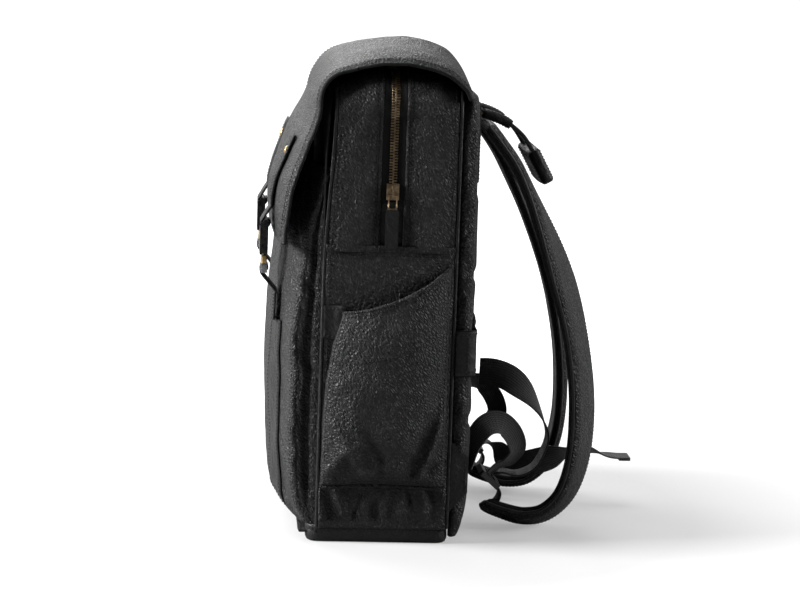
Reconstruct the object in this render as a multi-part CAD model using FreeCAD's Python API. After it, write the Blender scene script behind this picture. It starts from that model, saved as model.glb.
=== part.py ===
"""Leather commuter backpack with a flap, in millimetres.

+Z is up, +X is the wearer's right, -Y is the front (flap and buckles), +Y the back (shoulder straps).
The origin is the middle of the base's underside. Each node is written to its own STEP file in parts/.
"""
import FreeCAD, Part
import math
import os

from FreeCAD import Vector

# ---- driving dimensions (mm) ----
WIDTH = 290.0             # over the two side panels
BODY_TOP = 400.0          # top of the main compartment
FRONT_SEAM = -52.0        # front edge of the side panels, along Y
BACK_SEAM = 60.0          # rear edge of the side panels
CROSS_SEAM = 260.0        # height of the seam between lower and upper side panels
LEATHER = 3.0             # a panel: leather, padding and lining together
TRIM = 2.0                # a single turned leather strip
GAP = 0.3                 # room between pieces that move past each other
CORNER = 26.0             # outer radius of the body's two top corners

BASE_FRONT = -62.0
BASE_BACK = 62.0
BASE_HEIGHT = 14.0        # smooth strip round the base

ZIP_Y = 4.0               # middle of the zip
ZIP_CHANNEL = 20.0        # width between the folded panel edges
TEETH_WIDTH = 7.0
ZIP_BOTTOM = 300.0

PAD_BACK = 78.0           # rear face of the back pad
PAD_TOP = 390.0
PAD_HALF_WIDTH = 137.0

FLAP_THICK = 4.0
FLAP_HALF_WIDTH = 147.0
FLAP_HINGE = (70.0, 394.5)     # (y, z) of the seam that the flap turns about
FLAP_FOLD = (-60.0, 399.0)     # (y, z) of the fold between the flap's top and front

STRAP_X = 86.0            # middle of each flap strap and buckle
STRAP_WIDTH = 26.0
BUCKLE_BAR = (-103.5, 274.0)   # (y, z) of the bar that the flap strap loops round
BUCKLE_HALF_WIDTH = 17.0

HANDLE_BAR = (86.5, 371.0)     # (y, z) of the two rings that the grab handle turns on
HANDLE_X = 37.0
SHOULDER_X = 80.0
SHOULDER_THICK = 13.0
WEBBING = 25.0
WEBBING_THICK = 1.8

# ---- lines of the curved sheets, as (y, z) points on their outer faces ----
FLAP_LINE = [
    FLAP_HINGE, (67, 408), (52, 420), (28, 427.5), (4, 429), (-22, 424), (-45, 413), FLAP_FOLD,
    (-66, 377), (-72, 355), (-80, 330), (-89, 305), (-95, 285), (-97, 275), (-96.5, 264),
]
POCKET_LINE = [
    (-71.5, 330), (-79, 300), (-88, 240), (-92, 190), (-92.5, 130), (-91, 75), (-87, 30), (-79, 7),
]

X_AXIS = Vector(1, 0, 0)
Z_AXIS = Vector(0, 0, 1)
SIDES = (("left", -1), ("right", 1))


# ---- shared shapes ----
def save(name, shape):
    """Write one node, and print its size and volume."""
    shape.exportStep(f"parts/{name}.step")
    b = shape.BoundBox
    print(
        f"{name:24s} valid={shape.isValid()} solids={len(shape.Solids)} volume={shape.Volume:9.0f}"
        f"  x {b.XMin:7.1f} {b.XMax:7.1f}  y {b.YMin:7.1f} {b.YMax:7.1f}  z {b.ZMin:7.1f} {b.ZMax:7.1f}"
    )


def box(x, y, z):
    """A box from (low, high) along each axis."""
    return Part.makeBox(x[1] - x[0], y[1] - y[0], z[1] - z[0], Vector(x[0], y[0], z[0]))


def rod(start, end, radius):
    """A round bar between two points."""
    return Part.makeCylinder(radius, start.distanceToPoint(end), start, end - start)


def on_side(shape, side):
    """The shape built for the right side, or its mirror image for the left."""
    if side > 0:
        return shape
    return shape.mirror(Vector(0, 0, 0), X_AXIS)


def pair(shape):
    """The shape and its mirror image, as two solids of one node."""
    return Part.makeCompound([shape, on_side(shape, -1)])


def yz(points, x):
    """(y, z) points as vectors at one x."""
    return [Vector(x, y, z) for y, z in points]


def curve(points):
    """A smooth curve through points."""
    line = Part.BSplineCurve()
    line.interpolate(points)
    return line


def offset_points(points, along, distance):
    """The points moved out by distance, square to their curve and to the direction along."""
    line = curve(points)
    moved = []
    for p in points:
        tangent = Vector(*line.tangent(line.parameter(p))[0])
        moved.append(p + tangent.cross(along).normalize() * distance)
    return moved


def sheet(points, thickness, along, lift=0.0):
    """A bent sheet: outer face through the points (plus lift), extruded by the vector along."""
    direction = Vector(along).normalize()
    outer = offset_points(points, direction, lift)
    inner = offset_points(points, direction, lift - thickness)
    edges = [
        curve(outer).toShape(),
        Part.makeLine(outer[-1], inner[-1]),
        curve(inner).toShape(),
        Part.makeLine(inner[0], outer[0]),
    ]
    return Part.Face(Part.Wire(Part.__sortEdges__(edges))).extrude(along)


def across(points, thickness, x, lift=0.0):
    """A bent sheet over (y, z) points, between two x values."""
    return sheet(yz(points, x[0]), thickness, Vector(x[1] - x[0], 0, 0), lift)


def side_profile(points, x):
    """A straight-edged (y, z) outline, extruded between two x values."""
    corners = yz(points, x[0])
    face = Part.Face(Part.makePolygon(corners + corners[:1]))
    return face.extrude(Vector(x[1] - x[0], 0, 0))


def half_space(point, direction):
    """A block that fills everything past a plane through the point, square to the direction."""
    size = 600.0
    block = Part.makeBox(size, size, size, Vector(-size / 2, -size / 2, 0))
    block.Placement = FreeCAD.Placement(point, FreeCAD.Rotation(Z_AXIS, direction))
    return block


def rounded_plate(half_width, top, radius, bottom, y):
    """An upright plate with rounded top corners, between two y values."""
    mid = radius * (1 - math.sqrt(0.5))
    low_r, low_l = Vector(half_width, y[0], bottom), Vector(-half_width, y[0], bottom)
    side_r, side_l = Vector(half_width, y[0], top - radius), Vector(-half_width, y[0], top - radius)
    top_r, top_l = Vector(half_width - radius, y[0], top), Vector(radius - half_width, y[0], top)
    mid_r, mid_l = Vector(half_width - mid, y[0], top - mid), Vector(mid - half_width, y[0], top - mid)
    edges = [
        Part.makeLine(low_l, low_r),
        Part.makeLine(low_r, side_r),
        Part.Arc(side_r, mid_r, top_r).toShape(),
        Part.makeLine(top_r, top_l),
        Part.Arc(top_l, mid_l, side_l).toShape(),
        Part.makeLine(side_l, low_l),
    ]
    return Part.Face(Part.Wire(edges)).extrude(Vector(0, y[1] - y[0], 0))


def arch(half_width, top, radius, thickness, bottom, y):
    """An upside-down U strip that goes up one side, over the top and down the other."""
    outer = rounded_plate(half_width, top, radius, bottom, y)
    inner = rounded_plate(half_width - thickness, top - thickness, radius - thickness, bottom, y)
    return outer.cut(inner)


def ribbon(stations, thickness, chamfer=0.0):
    """A strap through (x, y, z, width) stations, its width square to its path and mostly along X."""
    line = curve([Vector(*s[:3]) for s in stations])
    sections = []
    for x, y, z, width in stations:
        centre = Vector(x, y, z)
        tangent = Vector(*line.tangent(line.parameter(centre))[0])
        normal = tangent.cross(X_AXIS).normalize()
        wide = normal.cross(tangent).normalize()
        half_w, half_t = width / 2, thickness / 2
        if chamfer:
            c = chamfer
            outline = [
                (half_w, half_t - c), (half_w - c, half_t), (c - half_w, half_t), (-half_w, half_t - c),
                (-half_w, c - half_t), (c - half_w, -half_t), (half_w - c, -half_t), (half_w, c - half_t),
            ]
        else:
            outline = [(half_w, half_t), (-half_w, half_t), (-half_w, -half_t), (half_w, -half_t)]
        corners = [centre + wide * a + normal * b for a, b in outline]
        sections.append(Part.makePolygon(corners + corners[:1]))
    return Part.makeLoft(sections, True, True)


def tilted(shape, centre, degrees):
    """The shape turned about an X axis through the (y, z) centre."""
    turned = shape.copy()
    turned.rotate(Vector(0, centre[0], centre[1]), X_AXIS, degrees)
    return turned


# ---- main compartment ----
def make_body():
    half = WIDTH / 2
    inside = half - LEATHER
    zip_front = ZIP_Y - ZIP_CHANNEL / 2
    zip_rear = ZIP_Y + ZIP_CHANNEL / 2

    tray = box((-half, half), (BASE_FRONT, BASE_BACK), (0, BASE_HEIGHT))
    hollow = box((-inside, inside), (BASE_FRONT + LEATHER, BASE_BACK - LEATHER), (LEATHER, BASE_HEIGHT + 1))
    tray = tray.makeFillet(9.0, [e for e in tray.Edges if abs(e.tangentAt(0).z) > 0.9])
    save("base_panel", tray.cut(hollow))
    board = ((4 - inside, inside - 4), (BASE_FRONT + 5, BASE_BACK - 5), (LEATHER + 0.1, LEATHER + 2.6))
    save("base_board", box(*board))

    for name, side in SIDES:
        lower = box((inside, half), (FRONT_SEAM, BACK_SEAM), (BASE_HEIGHT, CROSS_SEAM))
        save(f"side_panel_{name}", on_side(lower, side))
    upper = (half, BODY_TOP, CORNER, LEATHER, CROSS_SEAM)
    save("gusset_front", arch(*upper, (FRONT_SEAM, zip_front)))
    save("gusset_rear", arch(*upper, (zip_rear, BACK_SEAM)))
    ends = box((inside, half), (zip_front, zip_rear), (CROSS_SEAM, ZIP_BOTTOM - 1))
    save("zip_end_patches", pair(ends))

    wall = (half - 1, BODY_TOP - 1, CORNER - 1, BASE_HEIGHT)
    front = (half - 1, BODY_TOP - 5, CORNER - 5, BASE_HEIGHT)
    save("front_wall", rounded_plate(*front, (FRONT_SEAM - LEATHER, FRONT_SEAM)))
    save("back_panel", rounded_plate(*wall, (BACK_SEAM, BACK_SEAM + 2.5)))
    board = (inside - 6, BODY_TOP - 16, CORNER, BASE_HEIGHT + 4)
    save("back_board", rounded_plate(*board, (BACK_SEAM - 2.2, BACK_SEAM - 0.2)))
    save("laptop_sleeve", rounded_plate(inside - 8, 290, 12, 10, (40, 42.5)))


def make_zip():
    half = WIDTH / 2
    tape_out = 1.8                     # how far the tape lies inside the panels' outer face
    tape_y = (ZIP_Y - ZIP_CHANNEL / 2, ZIP_Y + ZIP_CHANNEL / 2)
    teeth_y = (ZIP_Y - TEETH_WIDTH / 2, ZIP_Y + TEETH_WIDTH / 2)
    tape = arch(half - tape_out, BODY_TOP - tape_out, CORNER - tape_out, 1.0, ZIP_BOTTOM, tape_y)
    save("zip_tape", tape)
    save("zip_teeth", arch(half, BODY_TOP, CORNER, tape_out - 0.1, ZIP_BOTTOM + 0.5, teeth_y))

    plate_z = (ZIP_BOTTOM + 2, ZIP_BOTTOM + 16)
    plate_x = (half + GAP, half + 1.8)
    lip = 1.5
    plate_y = (teeth_y[0] - GAP - lip, teeth_y[1] + GAP + lip)
    slider = box(plate_x, plate_y, plate_z)
    for y in ((plate_y[0], plate_y[0] + lip), (plate_y[1] - lip, plate_y[1])):
        slider = slider.fuse(box((half - 1.2, plate_x[0]), y, plate_z))
    bridge_y = (ZIP_Y - 0.8, ZIP_Y + 0.8)
    bridge = box((plate_x[1], plate_x[1] + 3.4), bridge_y, (plate_z[0] + 1, plate_z[1] - 2))
    window = box((plate_x[1], plate_x[1] + 2.2), (ZIP_Y - 1, ZIP_Y + 1), (plate_z[0] + 3, plate_z[1] - 4))
    slider = slider.fuse(bridge.cut(window)).removeSplitter()

    pin = Vector(plate_x[1] + 1.1, 0, plate_z[0] + 4.2)
    arms, foot = (ZIP_Y - 3.5, ZIP_Y + 3.5), pin.z - 12
    wire = 0.7
    arm_wire = 0.55
    bail = rod(Vector(pin.x, arms[0] - wire, pin.z), Vector(pin.x, arms[1] + wire, pin.z), wire)
    bail = bail.fuse(rod(Vector(pin.x, arms[0] - wire, foot), Vector(pin.x, arms[1] + wire, foot), wire))
    for y in arms:
        bail = bail.fuse(rod(Vector(pin.x, y, foot), Vector(pin.x, y, pin.z), arm_wire))
    tab = box((pin.x - 1.1, pin.x + 1.1), (ZIP_Y - 5.5, ZIP_Y + 5.5), (foot - 34, foot - wire - 0.1))
    corners = [e for e in tab.Edges if abs(e.tangentAt(0).x) > 0.9 and e.CenterOfMass.z < foot - 30]
    tab = tab.makeFillet(3.0, corners)
    for name, side in SIDES:
        save(f"zip_slider_{name}", on_side(slider, side))
        save(f"zip_bail_{name}", on_side(bail, side))
        save(f"zip_pull_{name}", on_side(tab, side))


# ---- back ----
def make_back():
    half = WIDTH / 2
    gusset = (half - 4, PAD_TOP + 2.5, CORNER, 2.5, 6)
    save("back_gusset", arch(*gusset, (BACK_SEAM + 2.6, PAD_BACK - 2)))
    pad = rounded_plate(PAD_HALF_WIDTH, PAD_TOP - 1, CORNER - 4, 8, (BACK_SEAM + 2.6, PAD_BACK))
    save("back_pad", pad)
    save("strap_yoke", rounded_plate(114, 384, 10, 316, (PAD_BACK + 0.1, PAD_BACK + 3)))

    band_line = [(145.2, 63), (145.2, 70), (143.4, 77.8), (134, 81.4), (100, 82.2), (60, 86.8)]
    points = [Vector(x, y, 150) for x, y in band_line] + [Vector(0, 88.5, 150)]
    points += [Vector(-x, y, 150) for x, y in reversed(band_line)]
    save("luggage_band", sheet(points, TRIM, Vector(0, 0, 39)))

    rear = BACK_SEAM + 2.7
    tab = side_profile([(rear, 88), (rear, 28), (PAD_BACK, 46), (PAD_BACK, 76)], (half - 3.8, half - 1.8))
    save("corner_tabs", pair(tab))


# ---- front compartment and side pockets ----
def make_front_pocket():
    half = WIDTH / 2 - 3
    inner = offset_points(yz(POCKET_LINE, half), X_AXIS, -LEATHER)
    save("front_pocket_panel", across(POCKET_LINE, LEATHER, (-half, half)))
    rear = FRONT_SEAM - LEATHER - 0.1
    floor_z = inner[-1].z
    edges = [
        curve(inner).toShape(),
        Part.makeLine(inner[-1], Vector(half, rear, floor_z)),
        Part.makeLine(Vector(half, rear, floor_z), Vector(half, rear, inner[0].z)),
        Part.makeLine(Vector(half, rear, inner[0].z), inner[0]),
    ]
    gusset = Part.Face(Part.Wire(Part.__sortEdges__(edges))).extrude(Vector(-TRIM, 0, 0))
    clear_of_base = box((half - 10, half + 10), (BASE_FRONT - 0.1, rear + 10), (-1, BASE_HEIGHT + 0.1))
    gusset = gusset.cut(clear_of_base)
    for name, side in SIDES:
        save(f"front_pocket_gusset_{name}", on_side(gusset, side))
    floor_half = half - TRIM - 0.1
    floor_y = (inner[-1].y + 1, BASE_FRONT - 0.1)
    floor = box((-floor_half, floor_half), floor_y, (floor_z, floor_z + TRIM))
    save("front_pocket_floor", floor)
    save("organiser_pocket", box((-110, 110), (rear - 4, rear - 2.5), (100, 262)))

    strip_x = (STRAP_X - 20, STRAP_X + 20)
    strip = across(POCKET_LINE, 1.6, strip_x, lift=1.8).common(box(strip_x, (-120, -60), (0, 188)))
    save("front_strips", pair(strip))


def make_side_pocket():
    wall = 2.5
    rest_x = WIDTH / 2 + 0.1

    def plan(inset):
        front, rear, reach = -50 + inset, 57 - inset, 167 - inset
        points = [(rest_x, front), (155, front + 2), (reach - 2, front + 18), (reach, 4)]
        points += [(reach - 2, rear - 18), (155, rear - 2), (rest_x, rear)]
        line = curve([Vector(x, y, 0) for x, y in points])
        closing = Part.makeLine(Vector(rest_x, rear, 0), Vector(rest_x, front, 0))
        return Part.Face(Part.Wire([line.toShape(), closing]))

    height = Vector(0, 0, 210)
    hollow = plan(wall).extrude(height).translated(Vector(0, 0, 4))
    pouch = plan(0).extrude(height).cut(hollow)
    pouch.translate(Vector(0, 0, 46))
    outline = [
        (-52, 46), (60, 46), (60, 248), (33, 227), (12, 216), (-13, 207), (-36, 203), (-44, 178), (-51, 130),
    ]
    pouch = pouch.common(side_profile(outline, (140, 175)))
    tab = side_profile([(-51.5, 209), (-51.5, 183), (-38, 180), (-36, 203)], (rest_x, rest_x + TRIM))
    tab = tab.cut(pouch)
    for name, side in SIDES:
        save(f"side_pocket_{name}", on_side(pouch, side))
    save("pocket_tabs", pair(tab))


# ---- flap ----
def make_flap():
    whole = across(FLAP_LINE, FLAP_THICK, (-FLAP_HALF_WIDTH, FLAP_HALF_WIDTH))
    fold = Vector(0, *FLAP_FOLD)
    line = curve(yz(FLAP_LINE, 0))
    forward = Vector(*line.tangent(line.parameter(fold))[0])
    save("flap_top", whole.common(half_space(fold - forward * GAP, forward * -1)))
    save("flap_front", whole.common(half_space(fold + forward * GAP, forward)))


# ---- flap straps and buckles ----
def make_buckles():
    bar_y, bar_z = BUCKLE_BAR
    centre = Vector(STRAP_X, bar_y, bar_z)
    bar_r = 2.0
    loop_in = bar_r + GAP
    loop_out = loop_in + 2.4
    half_strap = STRAP_WIDTH / 2
    x_strap = (STRAP_X - half_strap, STRAP_X + half_strap)

    tab_line = [(-76.4, 343), (-80, 330), (-89, 305), (-94.5, 287)]
    tab = across(tab_line, 2.4, x_strap, lift=2.6)
    loop_start = Vector(x_strap[0], bar_y, bar_z)
    ring = Part.makeCylinder(loop_out, STRAP_WIDTH, loop_start, X_AXIS)
    neck_line = [(-97.3, 288.1), (-94.9, 287.2), (bar_y + 4.4, bar_z), (bar_y + 1, bar_z + 3)]
    tab = tab.fuse(ring).fuse(side_profile(neck_line, x_strap))
    bore = Part.makeCylinder(loop_in, STRAP_WIDTH + 4, loop_start - X_AXIS * 2, X_AXIS)
    tab = tab.cut(bore).removeSplitter()

    rivet_at, rivet_axis = Vector(STRAP_X, -81.7, 336.7), Vector(0, -0.94, 0.34)
    rivet = Part.makeCone(4.0, 2.6, 1.6, rivet_at, rivet_axis)

    half = BUCKLE_HALF_WIDTH
    cheek = 2.4
    face_y = (bar_y - 4.6, bar_y - 2.4)
    skirt_z = (bar_z - 28, bar_z - 6)
    housing = box((STRAP_X - half, STRAP_X + half), face_y, skirt_z)
    for x in (STRAP_X - half, STRAP_X + half - cheek):
        arm = box((x, x + cheek), (face_y[0], bar_y + 2.6), (skirt_z[0] + 1, bar_z))
        arm = arm.fuse(Part.makeCylinder(2.6, cheek, Vector(x, bar_y, bar_z), X_AXIS))
        housing = housing.fuse(arm)
    bar_start = centre - X_AXIS * (half - 1)
    housing = housing.fuse(Part.makeCylinder(bar_r, 2 * half - 2, bar_start, X_AXIS)).removeSplitter()

    tongue_y = (bar_y - 1.2, bar_y + 1.6)
    tongue = box((STRAP_X - 8.5, STRAP_X + 8.5), tongue_y, (bar_z - 33, bar_z - 9))
    heel = box((STRAP_X - half, STRAP_X + half), (bar_y - 3.2, bar_y + 2.4), (bar_z - 44, bar_z - 36))
    slot = box((STRAP_X - 13.6, STRAP_X + 13.6), (bar_y - 9, bar_y + 9), (bar_z - 42, bar_z - 38.4))
    stem = box((STRAP_X - 8.5, STRAP_X + 8.5), tongue_y, (bar_z - 37, bar_z - 32))
    tongue = heel.cut(slot).fuse(stem).fuse(tongue).removeSplitter()

    clip_z = (bar_z - 35.4, bar_z - 29)
    clip = box((STRAP_X + 11.8, STRAP_X + half + 0.6), (bar_y - 2.8, bar_y + 2.0), clip_z)
    clip = clip.makeFillet(1.2, [e for e in clip.Edges if abs(e.tangentAt(0).z) > 0.9])
    mirror_clip = clip.mirror(centre, X_AXIS)

    lower_bar = rod(
        Vector(STRAP_X - 13.5, bar_y, bar_z - 40.2), Vector(STRAP_X + 13.5, bar_y, bar_z - 40.2), 1.4
    )
    lower_line = [(-97.5, 227), (-96.6, 219), (-95.0, 205), (-94.9, 190)]
    lower = across(lower_line, 2.2, x_strap, lift=2.4)

    for name, side in SIDES:
        save(f"flap_strap_{name}", on_side(tab, side))
        save(f"buckle_housing_{name}", on_side(housing, side))
        save(f"buckle_tongue_{name}", on_side(tongue, side))
        save(f"buckle_clip_{name}_outer", on_side(clip, side))
        save(f"buckle_clip_{name}_inner", on_side(mirror_clip, side))
    save("flap_rivets", pair(rivet))
    save("buckle_lower_bars", pair(lower_bar))
    save("lower_straps", pair(lower))


# ---- grab handle ----
def make_handle():
    bar_y, bar_z = HANDLE_BAR
    wire = 1.5
    ring_half = 12.0
    centre = Vector(HANDLE_X, bar_y, bar_z)
    ring = rod(centre - X_AXIS * ring_half, centre + X_AXIS * ring_half, wire)
    for x in (HANDLE_X - ring_half + wire, HANDLE_X + ring_half - wire):
        ring = ring.fuse(rod(Vector(x, PAD_BACK + 3.1, bar_z), Vector(x, bar_y, bar_z), wire - 0.25))
    save("handle_rings", pair(ring))

    leg_width = 18.0
    loop = Part.makeCylinder(wire + 3.2, leg_width, centre - X_AXIS * (leg_width / 2), X_AXIS)
    route = [(bar_y + 2.5, bar_z - 0.2), (100, 367.5), (114, 361.5), (126, 352), (133.5, 341.5)]
    leg = ribbon([(HANDLE_X, y, z, leg_width) for y, z in route], 8.0, 2.5)
    hole = Part.makeCylinder(wire + GAP, leg_width + 4, centre - X_AXIS * (leg_width / 2 + 2), X_AXIS)
    save("handle_legs", pair(leg.fuse(loop).cut(hole)))

    grip_at = (142.8, 324.5)
    grip = box((-47, 47), (grip_at[0] - 6.5, grip_at[0] + 6.5), (grip_at[1] - 17, grip_at[1] + 17))
    grip = grip.makeFillet(4.0, [e for e in grip.Edges if abs(e.tangentAt(0).x) > 0.9])
    save("handle_grip", tilted(grip, grip_at, 28.5))


# ---- shoulder straps ----
SHOULDER_ROUTE = [
    (88.5, 365, 60), (99, 352, 60), (119, 324, 60), (142, 278, 60), (161, 231, 60), (175, 184, 58),
    (183, 138, 56), (185.5, 96, 54), (182.5, 60, 50), (173, 32, 46), (156, 15, 42), (136, 11, 38),
    (116, 15.5, 34), (99, 22, 30),
]
LADDER_LOCK_AT = (103, 47)
ANCHOR_ROUTE = [
    (113, 79.5, 62, WEBBING), (111, 84, 82, WEBBING), (107, 95, 98, WEBBING), (102, 109, 101, WEBBING),
    (97, 121, 91, WEBBING), (93, 127, 76, WEBBING), (88, 121, 64, WEBBING), (84, 111, 58, WEBBING),
]
TAIL_ROUTE_RIGHT = [
    (66, 116, 50, WEBBING), (66, 130, 48, WEBBING), (65, 144, 54, WEBBING), (61, 153, 67, WEBBING),
    (57, 157, 81, WEBBING), (52, 154, 94, WEBBING), (48, 146, 108, WEBBING), (45, 135, 121, WEBBING),
    (43, 122, 131, WEBBING), (42, 108, 136, WEBBING), (41, 95, 136.5, WEBBING),
]
TAIL_ROUTE_LEFT = [
    (-66, 116, 50, WEBBING), (-60, 126, 42, WEBBING), (-50, 136, 34, WEBBING), (-41, 147, 34, WEBBING),
    (-36, 160, 38, WEBBING), (-34, 175, 43, WEBBING), (-34, 191, 48, WEBBING), (-34, 207, 50, WEBBING),
    (-34, 222, 46.5, WEBBING), (-34, 236, 45, WEBBING), (-34, 247, 45, WEBBING),
]


def make_shoulder_straps():
    stations = [(SHOULDER_X - 2 * i / 12, y, z, width) for i, (y, z, width) in enumerate(SHOULDER_ROUTE)]
    strap = ribbon(stations, SHOULDER_THICK, 4.0)
    anchor = ribbon(ANCHOR_ROUTE, WEBBING_THICK)

    y, z = LADDER_LOCK_AT
    frame = box((SHOULDER_X - 19, SHOULDER_X + 15), (y - 11, y + 11), (z - 2.5, z + 2.5))
    frame = frame.makeFillet(2.0, [e for e in frame.Edges if abs(e.tangentAt(0).z) > 0.9])
    for slot_y in (y - 5.4, y + 1.6):
        slot = box((SHOULDER_X - 15.5, SHOULDER_X + 11.5), (slot_y, slot_y + 3.8), (z - 5, z + 5))
        frame = frame.cut(slot)
    frame = tilted(frame, LADDER_LOCK_AT, -42)
    for name, side in SIDES:
        save(f"shoulder_strap_{name}", on_side(strap, side))
        save(f"anchor_webbing_{name}", on_side(anchor, side))
        save(f"ladder_lock_{name}", on_side(frame, side))
    save("webbing_tail_right", ribbon(TAIL_ROUTE_RIGHT, WEBBING_THICK))
    save("webbing_tail_left", ribbon(TAIL_ROUTE_LEFT, WEBBING_THICK))


os.makedirs("parts", exist_ok=True)
make_body()
make_zip()
make_back()
make_front_pocket()
make_side_pocket()
make_flap()
make_buckles()
make_handle()
make_shoulder_straps()
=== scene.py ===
"""Leather backpack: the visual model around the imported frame. Shapes and tables are in millimetres."""
import math

import bmesh
import bpy
import numpy as np
from mathutils import Matrix, Vector


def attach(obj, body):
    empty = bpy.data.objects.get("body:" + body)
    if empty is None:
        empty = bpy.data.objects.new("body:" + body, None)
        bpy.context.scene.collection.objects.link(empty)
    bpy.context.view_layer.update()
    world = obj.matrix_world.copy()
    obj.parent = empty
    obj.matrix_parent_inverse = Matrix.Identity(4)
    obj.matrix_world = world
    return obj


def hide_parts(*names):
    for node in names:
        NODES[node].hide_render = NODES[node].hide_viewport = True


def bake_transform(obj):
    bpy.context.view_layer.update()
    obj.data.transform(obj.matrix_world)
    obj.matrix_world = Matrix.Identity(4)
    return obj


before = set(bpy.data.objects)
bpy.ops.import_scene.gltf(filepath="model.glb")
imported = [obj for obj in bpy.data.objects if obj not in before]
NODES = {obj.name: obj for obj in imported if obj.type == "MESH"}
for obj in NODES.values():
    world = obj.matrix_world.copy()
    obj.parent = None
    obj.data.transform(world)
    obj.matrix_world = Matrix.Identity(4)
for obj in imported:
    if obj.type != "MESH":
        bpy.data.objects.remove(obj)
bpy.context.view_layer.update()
scene = bpy.context.scene
MM = 0.001
SIDES = (("left", -1.0), ("right", 1.0))
PI = math.pi


# ---- camera, light and floor, in metres ----
CAMERA_TURN = (86.0, 8.5, 2.0)  # azimuth, elevation and roll in degrees
CAMERA_AIM, CAMERA_DISTANCE, CAMERA_LENS = (0, 0.0235, 0.1936), 2.5, 122.6
LIGHTS = (  # name, position, aim, size, watts
    ("key_front", (0.3, -2.35, 1.3), (0, 0, 0.25), (0.9, 0.9), 240),
    ("key_left", (-1.4, -1.3, 1.9), (0, 0, 0.3), (1.2, 1.2), 40),
    ("far_side", (-2.4, -0.4, 1.35), (0, 0, 0.3), (1.5, 0.9), 24),
    ("top", (-0.7, 0.0, 2.4), (0, 0, 0.2), (1.2, 1.2), 20),
    ("rear", (0.3, 2.3, 1.1), (0, 0.1, 0.2), (1.3, 0.9), 62),
)
FLOOR_REACH = 30.0


def make_camera():
    azimuth, elevation, roll = map(math.radians, CAMERA_TURN)
    back = Vector((math.sin(azimuth) * math.cos(elevation), -math.cos(azimuth) * math.cos(elevation),
                   math.sin(elevation)))
    right = (-back).cross(Vector((0, 0, 1))).normalized()
    up = right.cross(-back)
    axes = (right * math.cos(roll) + up * math.sin(roll), up * math.cos(roll) - right * math.sin(roll), back)
    camera = bpy.data.objects.new("camera", bpy.data.cameras.new("camera"))
    scene.collection.objects.link(camera)
    spot = Matrix.Translation(Vector(CAMERA_AIM) + back * CAMERA_DISTANCE)
    camera.matrix_world = spot @ Matrix(axes).transposed().to_4x4()
    camera.data.lens = CAMERA_LENS
    camera.data.clip_end = 100
    scene.camera = camera


def area_light(name, position, aim, size, watts):
    data = bpy.data.lights.new(name, "AREA")
    data.shape = "RECTANGLE"
    data.size, data.size_y = size
    data.energy = watts
    light = bpy.data.objects.new(name, data)
    scene.collection.objects.link(light)
    light.location = position
    light.visible_camera = False
    light.rotation_euler = (Vector(aim) - Vector(position)).to_track_quat("-Z", "Y").to_euler()


class Nodes:
    """Short calls for the nodes of one shader tree."""

    def __init__(self, tree):
        self.tree = tree
        self.where = self.add("TexCoord")

    def add(self, kind, **values):
        node = self.tree.nodes.new("ShaderNode" + kind)
        for key, value in values.items():
            setattr(node, key, value)
        return node

    def join(self, output, socket):
        self.tree.links.new(output, socket)

    def noise(self, scale, detail=2.0, rough=0.5, vector=None):
        node = self.add("TexNoise")
        for key, number in (("Scale", scale), ("Detail", detail), ("Roughness", rough)):
            node.inputs[key].default_value = number
        self.join(vector or self.where.outputs["Object"], node.inputs["Vector"])
        return node.outputs["Fac"]

    def cells(self, scale, feature, vector=None):
        node = self.add("TexVoronoi", feature=feature)
        node.inputs["Scale"].default_value = scale
        self.join(vector or self.where.outputs["Object"], node.inputs["Vector"])
        return node.outputs["Distance"]

    def bands(self, direction, scale, vector, distortion=0.0):
        node = self.add("TexWave", wave_type="BANDS", bands_direction=direction)
        node.inputs["Scale"].default_value = scale
        node.inputs["Distortion"].default_value = distortion
        self.join(vector, node.inputs["Vector"])
        return node.outputs["Fac"]

    def remap(self, value, low, high, to_low, to_high):
        node = self.add("MapRange")
        for key, number in (("From Min", low), ("From Max", high), ("To Min", to_low), ("To Max", to_high)):
            node.inputs[key].default_value = number
        self.join(value, node.inputs["Value"])
        return node.outputs["Result"]

    def math(self, operation, a, b):
        node = self.add("Math", operation=operation)
        for socket, value in zip(node.inputs, (a, b)):
            if isinstance(value, (int, float)):
                socket.default_value = value
            else:
                self.join(value, socket)
        return node.outputs[0]

    def plus(self, a, b, share=1.0):
        """a + b * share"""
        return self.math("ADD", a, b if share == 1.0 else self.math("MULTIPLY", b, share))

    def mix(self, share, dark, light):
        node = self.add("Mix", data_type="RGBA")
        node.inputs[6].default_value = (*dark, 1)
        node.inputs[7].default_value = (*light, 1)
        self.join(share, node.inputs[0])
        return node.outputs[2]

    def bump(self, height, depth, strength=1.0, under=None):
        node = self.add("Bump")
        node.inputs["Strength"].default_value = strength
        node.inputs["Distance"].default_value = depth
        self.join(height, node.inputs["Height"])
        if under is not None:
            self.join(under, node.inputs["Normal"])
        return node.outputs["Normal"]

    def finish(self, color, rough, normal):
        shader = self.tree.nodes["Principled BSDF"]
        for value, socket in ((color, "Base Color"), (rough, "Roughness"), (normal, "Normal")):
            self.join(value, shader.inputs[socket])


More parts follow.
